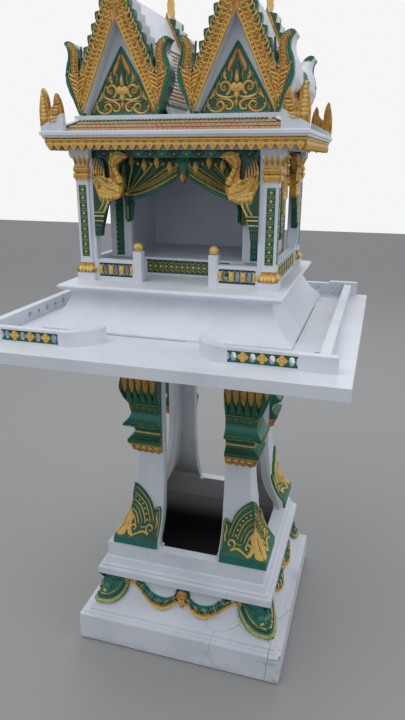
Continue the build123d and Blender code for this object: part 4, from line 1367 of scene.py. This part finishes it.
class SHRINE_OT_porch(bpy.types.Operator):
    """Carves the porch: head beam, balusters, riser and pier strips"""
    bl_idname = "shrine.porch"
    bl_label = "Carve the porch"

    def execute(self, context):
        relief = context.scene.shrine_sizes.relief
        carving = Relief("porch_carving", "gold", "gold_pale", "teal", "green_dark", "gold_red")
        for hand in (1, -1):
            self.balustrade(carving, side_ground(0, 199.0, HOUSE).turned(hand), relief)
            self.pier(carving, side_ground(0, 190.0).turned(hand), relief)
            for turn in (1, 3):
                self.parapet(carving, side_ground(turn, 253.0, HOUSE).turned(hand), relief)
        self.beam(carving, side_ground(0, 193.5, HOUSE), relief)
        meshes = [carving.mesh(), *self.riser(side_ground(0, 172.2))]
        settle("porch_carving", joined("porch_carving", meshes), "green_gold")
        return {"FINISHED"}

    def balustrade(self, carving, g, relief):
        """Gold balusters, dark rings round the openings between them, and a dark frame."""
        v = 1226
        for u, half in ((119, 5.6), (148.5, 7.6), (178.5, 7.6), (208, 5.6)):
            carving.boss(g, u, v, half, 15, relief * 1.6, "gold", 14)
            carving.boss(g, u, v, half * 0.5, 7, relief * 2.2, "gold_pale", 10)
            for end in (-14, 14):
                carving.boss(g, u, v + end, half * 0.7, 2.6, relief * 1.5, "green_dark", 8)
        for u in (133.5, 163.5, 193.5):
            angles = [k * math.pi / 5 for k in range(11)]
            ring = [(u + 7.4 * math.cos(angle), v + 14.4 * math.sin(angle)) for angle in angles]
            carving.stroke(g, ring, 2.2, relief * 0.8, "green_dark", 2)
        carving.bands(g, 114, 213, ((v + 17, 3.0, relief, "green_dark"),
                                    (v - 17, 3.0, relief, "green_dark")), 6)

    def pier(self, carving, g, relief):
        """Lozenges and gems beside the doorway."""
        for k in range(13):
            v = 1262 + 13.0 * k
            carving.leaf(g, mirrored(188, [(0, v - 6), (7, v), (0, v + 6)]), relief * 0.6, "teal", 0)
            carving.boss(g, 197.5, v, 2.2, 3.6, relief * 0.7, "gold_red" if k % 2 else "gold_pale", 8)

    def beam(self, carving, g, relief):
        """Scallops with a gold bead each, along the head beam."""
        for k in range(13):
            u = -186 + 31 * k
            carving.leaf(g, mirrored(u, [(15, 1523), (12, 1514), (0, 1507)]), relief,
                         "teal" if k % 2 else "green_dark", 2)
            carving.boss(g, u, 1514, 2.6, 3.4, relief * 1.4, "gold", 8)

    def parapet(self, carving, g, relief):
        """Half of a side parapet: dark panels with an oval and two flowers each."""
        for k in range(4):
            u = 20 + 36 * k
            carving.leaf(g, [(u - 14, 1212), (u - 14, 1242), (u + 14, 1242), (u + 14, 1212)], relief * 0.5,
                         "green_dark", 0, ((1.0, 0.0), (0.97, 1.0)))
            carving.boss(g, u, 1227, 5.5, 13, relief * 1.3, "gold_pale", 12)
            for v in (1216, 1238):
                carving.petals(g, u, v, 6.5, relief, "gold", 4, 0.8)
        carving.bands(g, 2, 151, ((1247, 2.6, relief * 0.7, "teal"), (1207, 2.6, relief * 0.7, "teal")), 8)

    def riser(self, g):
        """Meshes of the dense pattern below the room's floor."""
        tree = row_tree()
        pitch, v = 15.6, 1223

        def lozenge(shape, local):
            shape.leaf(local, mirrored(0, [(0, -5), (5, 0), (0, 5)]), 1.2, "gold_pale", 0)
            for way in (1, -1):
                wave = [(-7, way * 12), (-2, way * 8), (3, way * 11), (7, way * 15)]
                shape.stroke(local, wave, (1, 2.6, 1), 1.4, "gold_pale", 2)

        def bead(shape, local):
            shape.boss(local, 0, 0, 1.8, 1.8, 1.6, "lime", 8)
            for way in (1, -1):
                shape.leaf(local, [(-2.4, way * 4), (0, way * 9), (2.4, way * 4)], 1.2, "lime", 0)

        return [row(tree, "riser_lozenges", g, lozenge, "gold_pale", (-7 * pitch, v, 0), (pitch, 0), 15),
                row(tree, "riser_beads", g, bead, "lime", (-6.5 * pitch, v, 0), (pitch, 0), 14)]


class SHRINE_OT_eaves(bpy.types.Operator):
    """Hangs the gilt pendants under the eaves and carves the corner finials"""
    bl_idname = "shrine.eaves"
    bl_label = "Dress the eaves"

    def execute(self, context):
        pitch = context.scene.shrine_sizes.fringe_pitch
        tree = row_tree()
        carving = Relief("eaves_moulding", "gold", "gold_pale", "bronze")
        meshes = []
        # Each side, half its length and how far it lies from the middle.
        for turn, half, reach in ((0, 318.0, 262.0), (1, 252.0, 318.0), (2, 318.0, 262.0), (3, 252.0, 318.0)):
            g = side_ground(turn, reach, EAVES)
            meshes.extend(self.fringe(tree, "eaves_%d" % turn, g, half, pitch))
            carving.bands(g, -half - 1, half + 1, ((1546.4, 5.0, 3.2, "gold"),
                                                   (1541.6, 3.4, 2.4, "bronze")), 10)
        for hand in (1, -1):
            for turn in (0, 2):
                self.finial(carving, side_ground(turn, 268.0, EAVES).turned(hand).moved(u=325.0).turned(-1))
        meshes.append(carving.mesh())
        settle("eaves_carving", joined("eaves_carving", meshes), "gold_paint")
        return {"FINISHED"}

    def fringe(self, tree, name, g, half, pitch):
        """Meshes of the pendants, their gems and the buds between them."""
        count = round(2 * half / pitch)
        step = 2 * half / count
        first = -half + step / 2
        return [row(tree, name + "_drops", g, self.drop, "gold", (first, 1533, 0), (step, 0), count),
                row(tree, name + "_gems", g, self.gem, "gold_red", (first, 1532, 0), (step, 0), count),
                row(tree, name + "_buds", g, self.bud, "gold_pale", (-half + step, 1536, 0), (step, 0),
                    count - 1)]

    def drop(self, shape, local):
        shape.leaf(local, mirrored(0, [(0, 12), (6, 10), (9.5, 3), (0, -11)]), 1.6, "gold", 2)
        for hand in (1, -1):
            shape.stroke(local, [(hand * 8.5, 3), (hand * 4.5, -3), (0, -9)], (1.5, 2.6, 1.2), 2.6, "gold", 2)

    def gem(self, shape, local):
        shape.leaf(local, mirrored(0, [(0, 6), (3.4, 1), (0, -4.5)]), 2.8, "gold_red", 0)

    def bud(self, shape, local):
        shape.boss(local, 0, 0, 3.0, 3.4, 2.0, "gold_pale", 8)

    def finial(self, carving, g):
        """Leaves up the middle of a corner finial, flames beside them and a curl at the foot."""
        for k in range(8):
            v, half = 1592 + 8.6 * k, 9.5 - 0.9 * k
            carving.leaf(g, mirrored(12, [(half, v + 6), (half * 0.6, v - 1), (0, v - 5)]), 2.6,
                         "gold" if k % 2 else "gold_pale", 2)
        for k in range(6):
            flame = [(26 + 3.5 * k, 1592 + 7 * k), (37 + 3.2 * k, 1588 + 8 * k),
                     (45 + 2.4 * k, 1592 + 7.5 * k)]
            carving.stroke(g, flame, (2, 5.5, 2), 3.0, ("gold", "gold_pale", "bronze")[k % 3], 4)
        carving.curl(g, 28, 1590, 7, 0.5, 4.5, 4.0, 3.6, "gold_pale")


# Half lengths of the tiled gable slopes: towards the other gable, where the horns are thin, and outside.
TILES_TO_THIN_HORN, TILES_TO_HORN = 174, 138


class SHRINE_OT_tiles(bpy.types.Operator):
    """Lays the small tiles on the skirt roof and the gable slopes"""
    bl_idname = "shrine.tiles"
    bl_label = "Lay the tiles"

    def execute(self, context):
        pitch = context.scene.shrine_sizes.tile_pitch
        tree = tile_tree()
        trim = Relief("roof_trim", "green", "teal", "white")
        meshes = []
        slopes = self.skirt_slopes() + self.gable_slopes()
        for number, (name, foot, along, rise, foot_half, top_half) in enumerate(slopes):
            g = Ground(foot, along, rise, along.cross(rise))
            meshes.append(self.field(tree, name, g, rise, foot_half, top_half, pitch, number + 5))
            if name.startswith("skirt"):
                self.skirt_trim(trim, g, rise.length, foot_half, top_half)
            else:
                self.gable_trim(trim, g, rise.length, foot_half)
        meshes.append(trim.mesh())
        settle("roof_tiles", joined("roof_tiles", meshes), "roof_tile")
        return {"FINISHED"}

    def skirt_slopes(self):
        """Name, middle of the foot, way along it, rise and half widths of each skirt slope."""
        slopes = []
        for turn, x, y, inward, foot_half, top_half in ((0, 5, EAVES[1] - 250, (0, 22), 290, 233),
                                                        (2, 5, EAVES[1] + 250, (0, -46), 290, 233),
                                                        (1, 309, -71, (-52, 0), 230, 190),
                                                        (3, -303, -71, (60, 0), 230, 190)):
            rise = Vector((*inward, SKIRT_TOP - SKIRT_FOOT))
            slopes.append(("skirt_%d" % turn, Vector((x, y, SKIRT_FOOT)), side_ground(turn, 0.0).across, rise,
                           foot_half, top_half))
        return slopes

    def gable_slopes(self):
        """The same of the four gable slopes, which are tiled between two heights."""
        low, high = 1632.0, 1774.0
        ridge_off = 125.0
        slopes = []
        for number, centre in enumerate(GABLES):
            for hand in (1, -1):
                x = centre + hand * (ridge_off - (low - GABLE_FOOT) * GABLE_SLOPE)
                rise = Vector((-hand * (high - low) * GABLE_SLOPE, 0, high - low))
                half = TILES_TO_THIN_HORN if (number == 0) == (hand > 0) else TILES_TO_HORN
                slopes.append(("gable_%d_%d" % (number, hand > 0), Vector((x, HOUSE[1], low)),
                               Vector((0, hand, 0)), rise, half, half))
        return slopes

    def field(self, tree, name, g, rise, foot_half, top_half, pitch, seed):
        """Mesh of the tiles on one slope."""
        rows = max(2, round(rise.length / (pitch * 0.95)))
        step = rise / rows
        half, long = pitch * 0.47, step.length
        local = Ground((0, 0, 0), g.across, g.up, g.out)

        def tile(shape):
            rings = []
            for v, h in ((-long * 0.12, 3.4), (long * 0.25, 3.0), (long * 0.98, 1.0)):
                section = ((-half, v, SUNK), (-half, v, h * 0.75), (-half * 0.5, v - 0.8, h),
                           (half * 0.5, v - 0.8, h), (half, v, h * 0.75), (half, v, SUNK))
                rings.append([local(*point) for point in section])
            shape.skin(rings, "tile")

        return copies(tree, name, tile, "tile", {
            "Columns": int(2 * foot_half / pitch) + 1, "Rows": rows, "Start": g.origin * MM,
            "Across": g.across * pitch * MM, "Upwards": step * MM, "Half width": (foot_half - pitch / 2) * MM,
            "Narrowing": (foot_half - top_half) / rows * MM, "Seed": seed})

    def skirt_trim(self, trim, g, length, foot_half, top_half):
        """Green beads along the head of a skirt slope, and green and white edges up its hips."""
        bead_pitch = 9
        for k in range(int(2 * top_half / bead_pitch)):
            trim.boss(g, -top_half + bead_pitch * (k + 0.5), length - 2.0, 5.0, 3.4, 4.2, "green", 8)
        for hand in (1, -1):
            green = [(hand * (foot_half + 3), 1.0), (hand * (top_half + 3), length - 1.0)]
            white = [(hand * (foot_half + 13), 0.0), (hand * (top_half + 12), length)]
            trim.strokes(g, (green, 6.0, 4.0, "green", 6), (white, 9.0, 5.0, "white"))

    def gable_trim(self, trim, g, length, half):
        """Blue-green bands at foot and head of a gable slope, green edges and verge boards."""
        edge_u, thin_horn_u = TILES_TO_HORN + 1, THIN_HORN_BACK
        trim.bands(g, -half - 2, half + 2, ((-6.0, 14.0, 3.4, "teal"), (length + 2.0, 7.0, 3.4, "teal")), 8)
        for u in (-edge_u, edge_u):
            trim.stroke(g, [(u, 0.0), (u, length)], 4.0, 2.6, "green")
        if half == TILES_TO_THIN_HORN:
            # Verge boards carry the tiles on to the thin horns.
            for end in (-1, 1):
                board = [(end * edge_u, -33), (end * thin_horn_u, -33),
                         (end * thin_horn_u, 78), (end * edge_u, 78)]
                trim.skin([[g(u, v, h) for u, v in board] for h in (-9.0, 0.4)], "white")


# The golds of the flames, in turn.
GOLDS = ("gold", "gold_pale", "gold", "gold_red")


def board_edge(w, out=0.0):
    """Inner edge of a bargeboard at a height above its foot, moved out across the board."""
    return GABLE_HALF - w * GABLE_SLOPE + out


class SHRINE_OT_gables(bpy.types.Operator):
    """Carves the flame bargeboards and the scrolls of the pediments"""
    bl_idname = "shrine.gables"
    bl_label = "Carve the gables"

    def execute(self, context):
        for end, turn, sign in (("front", 0, -1), ("rear", 2, 1)):
            boards = Relief(end + "_bargeboard_carving", "gold", "gold_pale", "teal", "gold_red",
                            "green_dark", "olive", "lime")
            scrolls = Relief(end + "_pediment_carving", "gold", "gold_pale", "teal", "gold_red", "lime",
                             "green_dark")
            for side, centre in zip(("left", "right"), GABLES):
                self.thin_horn(end + "_" + side + "_bargeboard", centre, sign)
                face = side_ground(turn, 212.0, (centre, HOUSE[1])).moved(v=GABLE_FOOT)
                field = face.moved(h=-31.0)
                for hand in (1, -1):
                    g = face.turned(hand)
                    self.bands_and_beads(boards, g)
                    self.flames(boards, g)
                    self.teeth(boards, g)
                    self.foot(boards, g)
                    self.horn(boards, g)
                    self.scroll(scrolls, field.turned(hand))
                    self.side_border(scrolls, field.turned(hand))
                self.bud(scrolls, field)
            boards.settle("gold_paint")
            scrolls.settle("green_gold")
        return {"FINISHED"}

    def thin_horn(self, name, centre, sign):
        """The bargeboard again, with a thin horn on the side towards the other gable."""
        shape = bmesh.new()
        shape.from_mesh(nodes[name].data)
        bmesh.ops.remove_doubles(shape, verts=shape.verts, dist=0.00001)
        shape.transform(nodes[name].matrix_world)
        inward = 1.0 if centre < 0.0 else -1.0
        for vertex in shape.verts:
            off = (vertex.co.x / MM - centre) * inward
            depth = (vertex.co.y / MM - HOUSE[1]) * sign
            # The back of the board's inner half, and the back of the horn.
            if (off > 0.0 and depth < 130.0) or (off > HORN_FROM and depth < THIN_HORN_BACK):
                vertex.co.y = (HOUSE[1] + sign * THIN_HORN_BACK) * MM
        mesh = bpy.data.meshes.new(name + "_carved")
        shape.to_mesh(mesh)
        shape.free()
        for material in nodes[name].data.materials:
            mesh.materials.append(material)
        settle(name + "_carved", mesh, "gold_paint", name)

    def bands_and_beads(self, carving, g):
        """Two narrow bands up the board, with beads between them."""
        inner = [(board_edge(w, 4), w) for w in (14, 110, 196)]
        outer = [(board_edge(w, 14), w) for w in (24, 110, 206)]
        carving.strokes(g, (inner, (4, 4.5, 4), 3.6, "gold", 8), (outer, (3, 3.5, 3), 3.2, "gold", 8))
        for k in range(20):
            w = 30 + 9.2 * k
            carving.boss(g, board_edge(w, 9), w, 3.0, 3.6, 3.4, "gold_pale" if k % 2 else "gold", 8)

    def flames(self, carving, g):
        """Two rows of small flames between the bands and the teeth."""
        for k in range(19):
            w = 92 + 9.4 * k
            near, far = board_edge(w, 18), board_edge(w, 30)
            carving.strokes(
                g, ([(near, w - 5), (near + 8, w - 6), (near + 12, w), (near + 9, w + 5)], (2.5, 5, 2),
                    (2, 4.4, 3), GOLDS[k % 4], 4),
                ([(far - 2, w), (far + 7, w - 3), (far + 11, w + 4), (far + 8, w + 11)], (2.5, 5, 1.8),
                 (2, 4.2, 2.4), GOLDS[(k + 1) % 4], 4))
            carving.boss(g, near + 9, w + 1, 2.0, 2.0, 5.4, "gold_pale", 6)

    def teeth(self, carving, g):
        """Green lines on each flame tooth."""
        for k in range(7):
            w = 122 + 24 * k
            tip = board_edge(w, 49)
            carving.strokes(
                g, ([(tip - 13, w - 21), (tip - 3, w - 15), (tip - 1, w - 2)], (4, 8, 2), (2, 4.4, 2),
                    "lime", 4),
                ([(tip - 9, w - 22), (tip + 1, w - 17), (tip + 2, w - 5)], (2, 3.5, 1.5), (2, 3.6, 2),
                 "teal", 4),
                ([(tip - 14, w - 14), (tip - 8, w - 8), (tip - 6, w + 1)], (2, 4, 1.5), (2, 3.6, 2),
                 "olive", 4),
                ([(tip - 6, w - 16), (tip - 4, w - 11), (tip - 3, w - 5)], (1, 2, 1), 5.4, "green_dark", 3))

    def foot(self, carving, g):
        """Leaves that rise on both sides of a middle line, like a feather."""
        for k in range(9):
            w = 14 + 9.5 * k
            left = board_edge(w, 18)
            right = GABLE_HALF + w * 0.42 - 2 - max(0.0, w - 84) * 0.3
            middle = (left + right) / 2
            if right - left < 9:
                carving.boss(g, middle, w, max((right - left) / 2 - 1, 1.5), 4.0, 3.6, GOLDS[k % 4], 8)
                continue
            for way, end in ((-1, left), (1, right)):
                leaf = [(middle - way, w - 6), (middle + (end - middle) * 0.55, w - 1),
                        (end - way * 1.5, w + 8)]
                carving.stroke(g, leaf, (3, 5.6, 2), (2.4, 4.6, 2.4), GOLDS[(k + way) % 4], 4)
                carving.boss(g, end - way * 3, w + 8, 2.2, 2.6, 4.8, "gold_pale", 6)
            carving.boss(g, middle, w + 1, 2.4, 3.4, 5.6, "gold_red" if k % 2 else "gold_pale", 8)

    def horn(self, carving, g):
        """Scales that follow the curve of the horn, inside its blue-green edge."""
        spine = smooth([(108, 88), (112, 104), (108, 126), (109, 142), (118, 155)], 6)
        for k in range(1, len(spine) - 1, 2):
            u, v = spine[k]
            carving.strokes(
                g, ([(u - 8, v - 4), (u - 2, v - 1), (u + 1, v + 8)], (2, 4.6, 2), (2.4, 4.6, 2.4),
                    GOLDS[k % 4], 3),
                ([(u + 7, v - 5), (u + 3, v), (u + 2, v + 8)], (2, 4.2, 2), (2.4, 4.2, 2.4),
                 GOLDS[(k + 2) % 4], 3))
            carving.boss(g, u, v - 3, 2.2, 2.6, 5.4, "gold_pale", 6)
        carving.strokes(
            g, ([(101, 2), (114, 34), (130, 84), (130, 96), (122, 127), (123, 146), (131, 159)], (4, 7, 4),
                3.0, "teal", 7),
            ([(97, 6), (109, 36), (122, 78), (124, 92), (117, 122), (118, 143), (127, 156)], (2, 2.6, 2),
             3.6, "lime", 7),
            ([(99, 96), (101, 110), (99, 128), (103, 145), (113, 157)], (3, 3.5, 3), 3.2, "lime", 6),
            ([(89, 150), (91, 120), (94, 98), (99, 88)], (5, 4, 2), 2.0, "green_dark"))

    def scroll(self, carving, g):
        """Scrolls and leaves on one half of a pediment."""
        carving.strokes(
            g, ([(68, 34), (69, 18), (57, 7), (40, 7), (30, 17), (36, 27), (47, 23), (44, 15)], (4, 7.5, 4.5),
                5.0, "gold_pale"),
            ([(48, 31), (33, 33), (17, 30), (8, 21), (14, 11), (24, 13), (22, 21)], (3.5, 7, 4), 4.6,
             "gold_pale"),
            ([(64, 34), (57, 42), (54, 54)], (5, 7, 2), 4.2, "gold", 4),
            ([(52, 12), (41, 13), (36, 19)], (2, 4, 2), 6.4, "gold_red", 4),
            ([(22, 26), (16, 22), (16, 17)], (2, 3.5, 2), 6.0, "gold_red", 4),
            ([(79, 8), (74, 20), (69, 28)], (5, 5, 1.5), 3.8, "gold_red", 4),
            ([(0, 42), (14, 36), (34, 37), (48, 44), (50, 56)], (4, 7, 4), 5.0, "gold_pale"),
            ([(48, 52), (46, 64), (38, 75)], (4, 6, 2), 4.2, "lime", 4),
            ([(25, 73), (31, 83), (27, 98)], (6, 7, 2), 4.8, "gold_pale", 4),
            ([(36, 74), (37, 82), (33, 90)], (3, 4, 1.5), 3.8, "lime", 4),
            ([(2, 134), (9, 118), (19, 98), (17, 90)], (6, 12, 4), 4.6, "gold_red"),
            ([(4, 126), (9, 112), (14, 100)], (2, 4, 2), 7.0, "gold", 4),
            ([(14, 94), (12, 82), (14, 70)], (3, 5, 3), 4.0, "lime", 4))
        carving.curl(g, 29, 57, 16, -1.9, -7.0, 7.0, 5.6, "gold_pale")
        carving.boss(g, 29, 57, 4, 4, 7.0, "gold_red", 8)

    def side_border(self, carving, g):
        """Blue-green border of one half of a pediment, with beads and small leaves inside it."""
        carving.strokes(g, ([(86, 5), (44, 78), (1, 150)], (5, 7, 5), 3.0, "teal", 8),
                        ([(4, 4), (44, 4), (82, 4)], 5.0, 3.6, "teal", 8))
        for k in range(5):
            w = 20 + 22 * k
            u = PEDIMENT_HALF * (1 - w / PEDIMENT_RISE) - 10
            carving.boss(g, u, w, 3.0, 3.4, 4.0, "gold", 8)
            carving.stroke(g, [(u - 8, w - 3), (u - 2, w - 7), (u + 4, w - 4)], (1.5, 3, 1.5), 3.4, "lime", 3)

    def bud(self, carving, g):
        """Bud and rosette on the middle line of a pediment."""
        for half, height, paint in (([(0, 64), (10, 70), (9, 90), (0, 112)], 4.4, "green_dark"),
                                    ([(5, 68), (4.5, 82), (0, 96)], 7.0, "gold_pale"),
                                    ([(0, 64), (7, 68), (16, 60), (12, 50), (0, 46)], 6.4, "gold"),
                                    ([(0, 48), (7, 44), (0, 31)], 6.8, "gold"),
                                    ([(0, 32), (5, 28), (0, 14)], 4.6, "gold_red")):
            carving.leaf(g, mirrored(0, half), height, paint, 3)
        carving.boss(g, 0, 56, 6.5, 5.5, 9.4, "gold_pale", 12)


# The camera that the photograph was taken with: place in metres, turns in radians, lens in millimetres.
CAMERA_PLACE = (0.4951, -1.6900, 1.5)
CAMERA_YAW, CAMERA_PITCH, CAMERA_ROLL = 0.28946, 0.32786, 0.00365
CAMERA_LENS, CAMERA_SENSOR = 29.338, 36.0

# Lamps: name, place and size in metres, and power in watts.
LAMPS = (
    ("lamp_sky", (-1.0, -1.6, 4.6), 3.0, 58.0),
    ("lamp_right", (3.4, -0.4, 3.2), 2.4, 26.0),
    ("lamp_back", (-0.6, 3.2, 3.6), 2.6, 34.0),
)


class SHRINE_OT_stage(bpy.types.Operator):
    """Adds the floor, the lamps, the sky and the camera"""
    bl_idname = "shrine.stage"
    bl_label = "Set the stage"

    def execute(self, context):
        scene = context.scene
        self.floor(scene)
        for name, place, size, power in LAMPS:
            self.lamp(scene, name, place, size, power)
        self.sky(scene)
        self.camera(scene)
        scene.view_settings.view_transform = "Standard"
        return {"FINISHED"}

    def floor(self, scene):
        mesh = bpy.data.meshes.new("floor")
        half = 12.0
        corners = [(-half, -half, 0), (half, -half, 0), (half, half, 0), (-half, half, 0)]
        mesh.from_pydata(corners, [], [(0, 1, 2, 3)])
        mesh.materials.append(Graph("floor").finish((0.33, 0.33, 0.33, 1.0), 0.85))
        floor = bpy.data.objects.new("floor", mesh)
        scene.collection.objects.link(floor)

    def lamp(self, scene, name, place, size, power):
        """A square lamp that looks at the middle of the shrine."""
        data = bpy.data.lights.new(name, "AREA")
        data.size = size
        data.energy = power
        data.color = (1.0, 0.99, 0.97)
        lamp = bpy.data.objects.new(name, data)
        lamp.location = place
        aim = UP - lamp.location
        lamp.rotation_euler = aim.to_track_quat("-Z", "Y").to_euler()
        scene.collection.objects.link(lamp)

    def sky(self, scene):
        """Soft daylight; the camera and clear reflections see a plain white sky."""
        world = bpy.data.worlds.new("soft_daylight")
        world.use_nodes = True
        wiring = Wiring(world.node_tree)
        nodes, links = wiring.tree.nodes, wiring.tree.links
        nodes.clear()
        path = nodes.new("ShaderNodeLightPath")
        seen = Field(wiring, path.outputs["Is Camera Ray"]).most(Field(wiring, path.outputs["Is Glossy Ray"]))
        light = wiring.node("ShaderNodeBackground", {}, {0: (0.92, 0.95, 1.0, 1.0), 1: 0.6})
        plain = wiring.node("ShaderNodeBackground", {}, {0: (1.0, 1.0, 1.0, 1.0), 1: 0.92})
        mixer = wiring.node("ShaderNodeMixShader", {}, {0: seen, 1: light, 2: plain})
        links.new(mixer.socket, nodes.new("ShaderNodeOutputWorld").inputs[0])
        scene.world = world

    def camera(self, scene):
        data = bpy.data.cameras.new("camera")
        data.sensor_width = CAMERA_SENSOR
        data.lens = CAMERA_LENS
        camera = bpy.data.objects.new("camera", data)
        yaw, pitch, roll = CAMERA_YAW, CAMERA_PITCH, CAMERA_ROLL
        ahead = Vector((-math.sin(yaw) * math.cos(pitch), math.cos(yaw) * math.cos(pitch), -math.sin(pitch)))
        flat = Vector((math.cos(yaw), math.sin(yaw), 0.0))
        upward = flat.cross(ahead)
        right = flat * math.cos(roll) + upward * math.sin(roll)
        upward = upward * math.cos(roll) - flat * math.sin(roll)
        turn = Matrix((right, upward, -ahead)).transposed()
        camera.matrix_world = Matrix.Translation(CAMERA_PLACE) @ turn.to_4x4()
        scene.collection.objects.link(camera)
        scene.camera = camera


class SHRINE_PT_panel(bpy.types.Panel):
    """Lists the steps of the spirit house"""
    bl_idname = "SHRINE_PT_panel"
    bl_label = "Spirit house"
    bl_space_type = "VIEW_3D"
    bl_region_type = "UI"
    bl_category = "Spirit house"

    def draw(self, context):
        for step in STEPS:
            self.layout.operator(step.bl_idname)


STEPS = (SHRINE_OT_body, SHRINE_OT_capitals, SHRINE_OT_foot_leaves, SHRINE_OT_swags, SHRINE_OT_tray,
         SHRINE_OT_columns, SHRINE_OT_swans, SHRINE_OT_curtain, SHRINE_OT_porch, SHRINE_OT_eaves,
         SHRINE_OT_tiles, SHRINE_OT_gables, SHRINE_OT_stage)
GROUPS = (ShrineColours, ShrineSizes)


def register():
    for group in GROUPS:
        bpy.utils.register_class(group)
    for step in STEPS:
        bpy.utils.register_class(step)
    bpy.utils.register_class(SHRINE_PT_panel)
    bpy.types.Scene.shrine_colours = PointerProperty(type=ShrineColours)
    bpy.types.Scene.shrine_sizes = PointerProperty(type=ShrineSizes)


def unregister():
    del bpy.types.Scene.shrine_sizes
    del bpy.types.Scene.shrine_colours
    bpy.utils.unregister_class(SHRINE_PT_panel)
    for step in reversed(STEPS):
        bpy.utils.unregister_class(step)
    for group in reversed(GROUPS):
        bpy.utils.unregister_class(group)


def main():
    register()
    for step in STEPS:
        group, name = step.bl_idname.split(".")
        getattr(getattr(bpy.ops, group), name)()


if __name__ == "__main__":
    main()
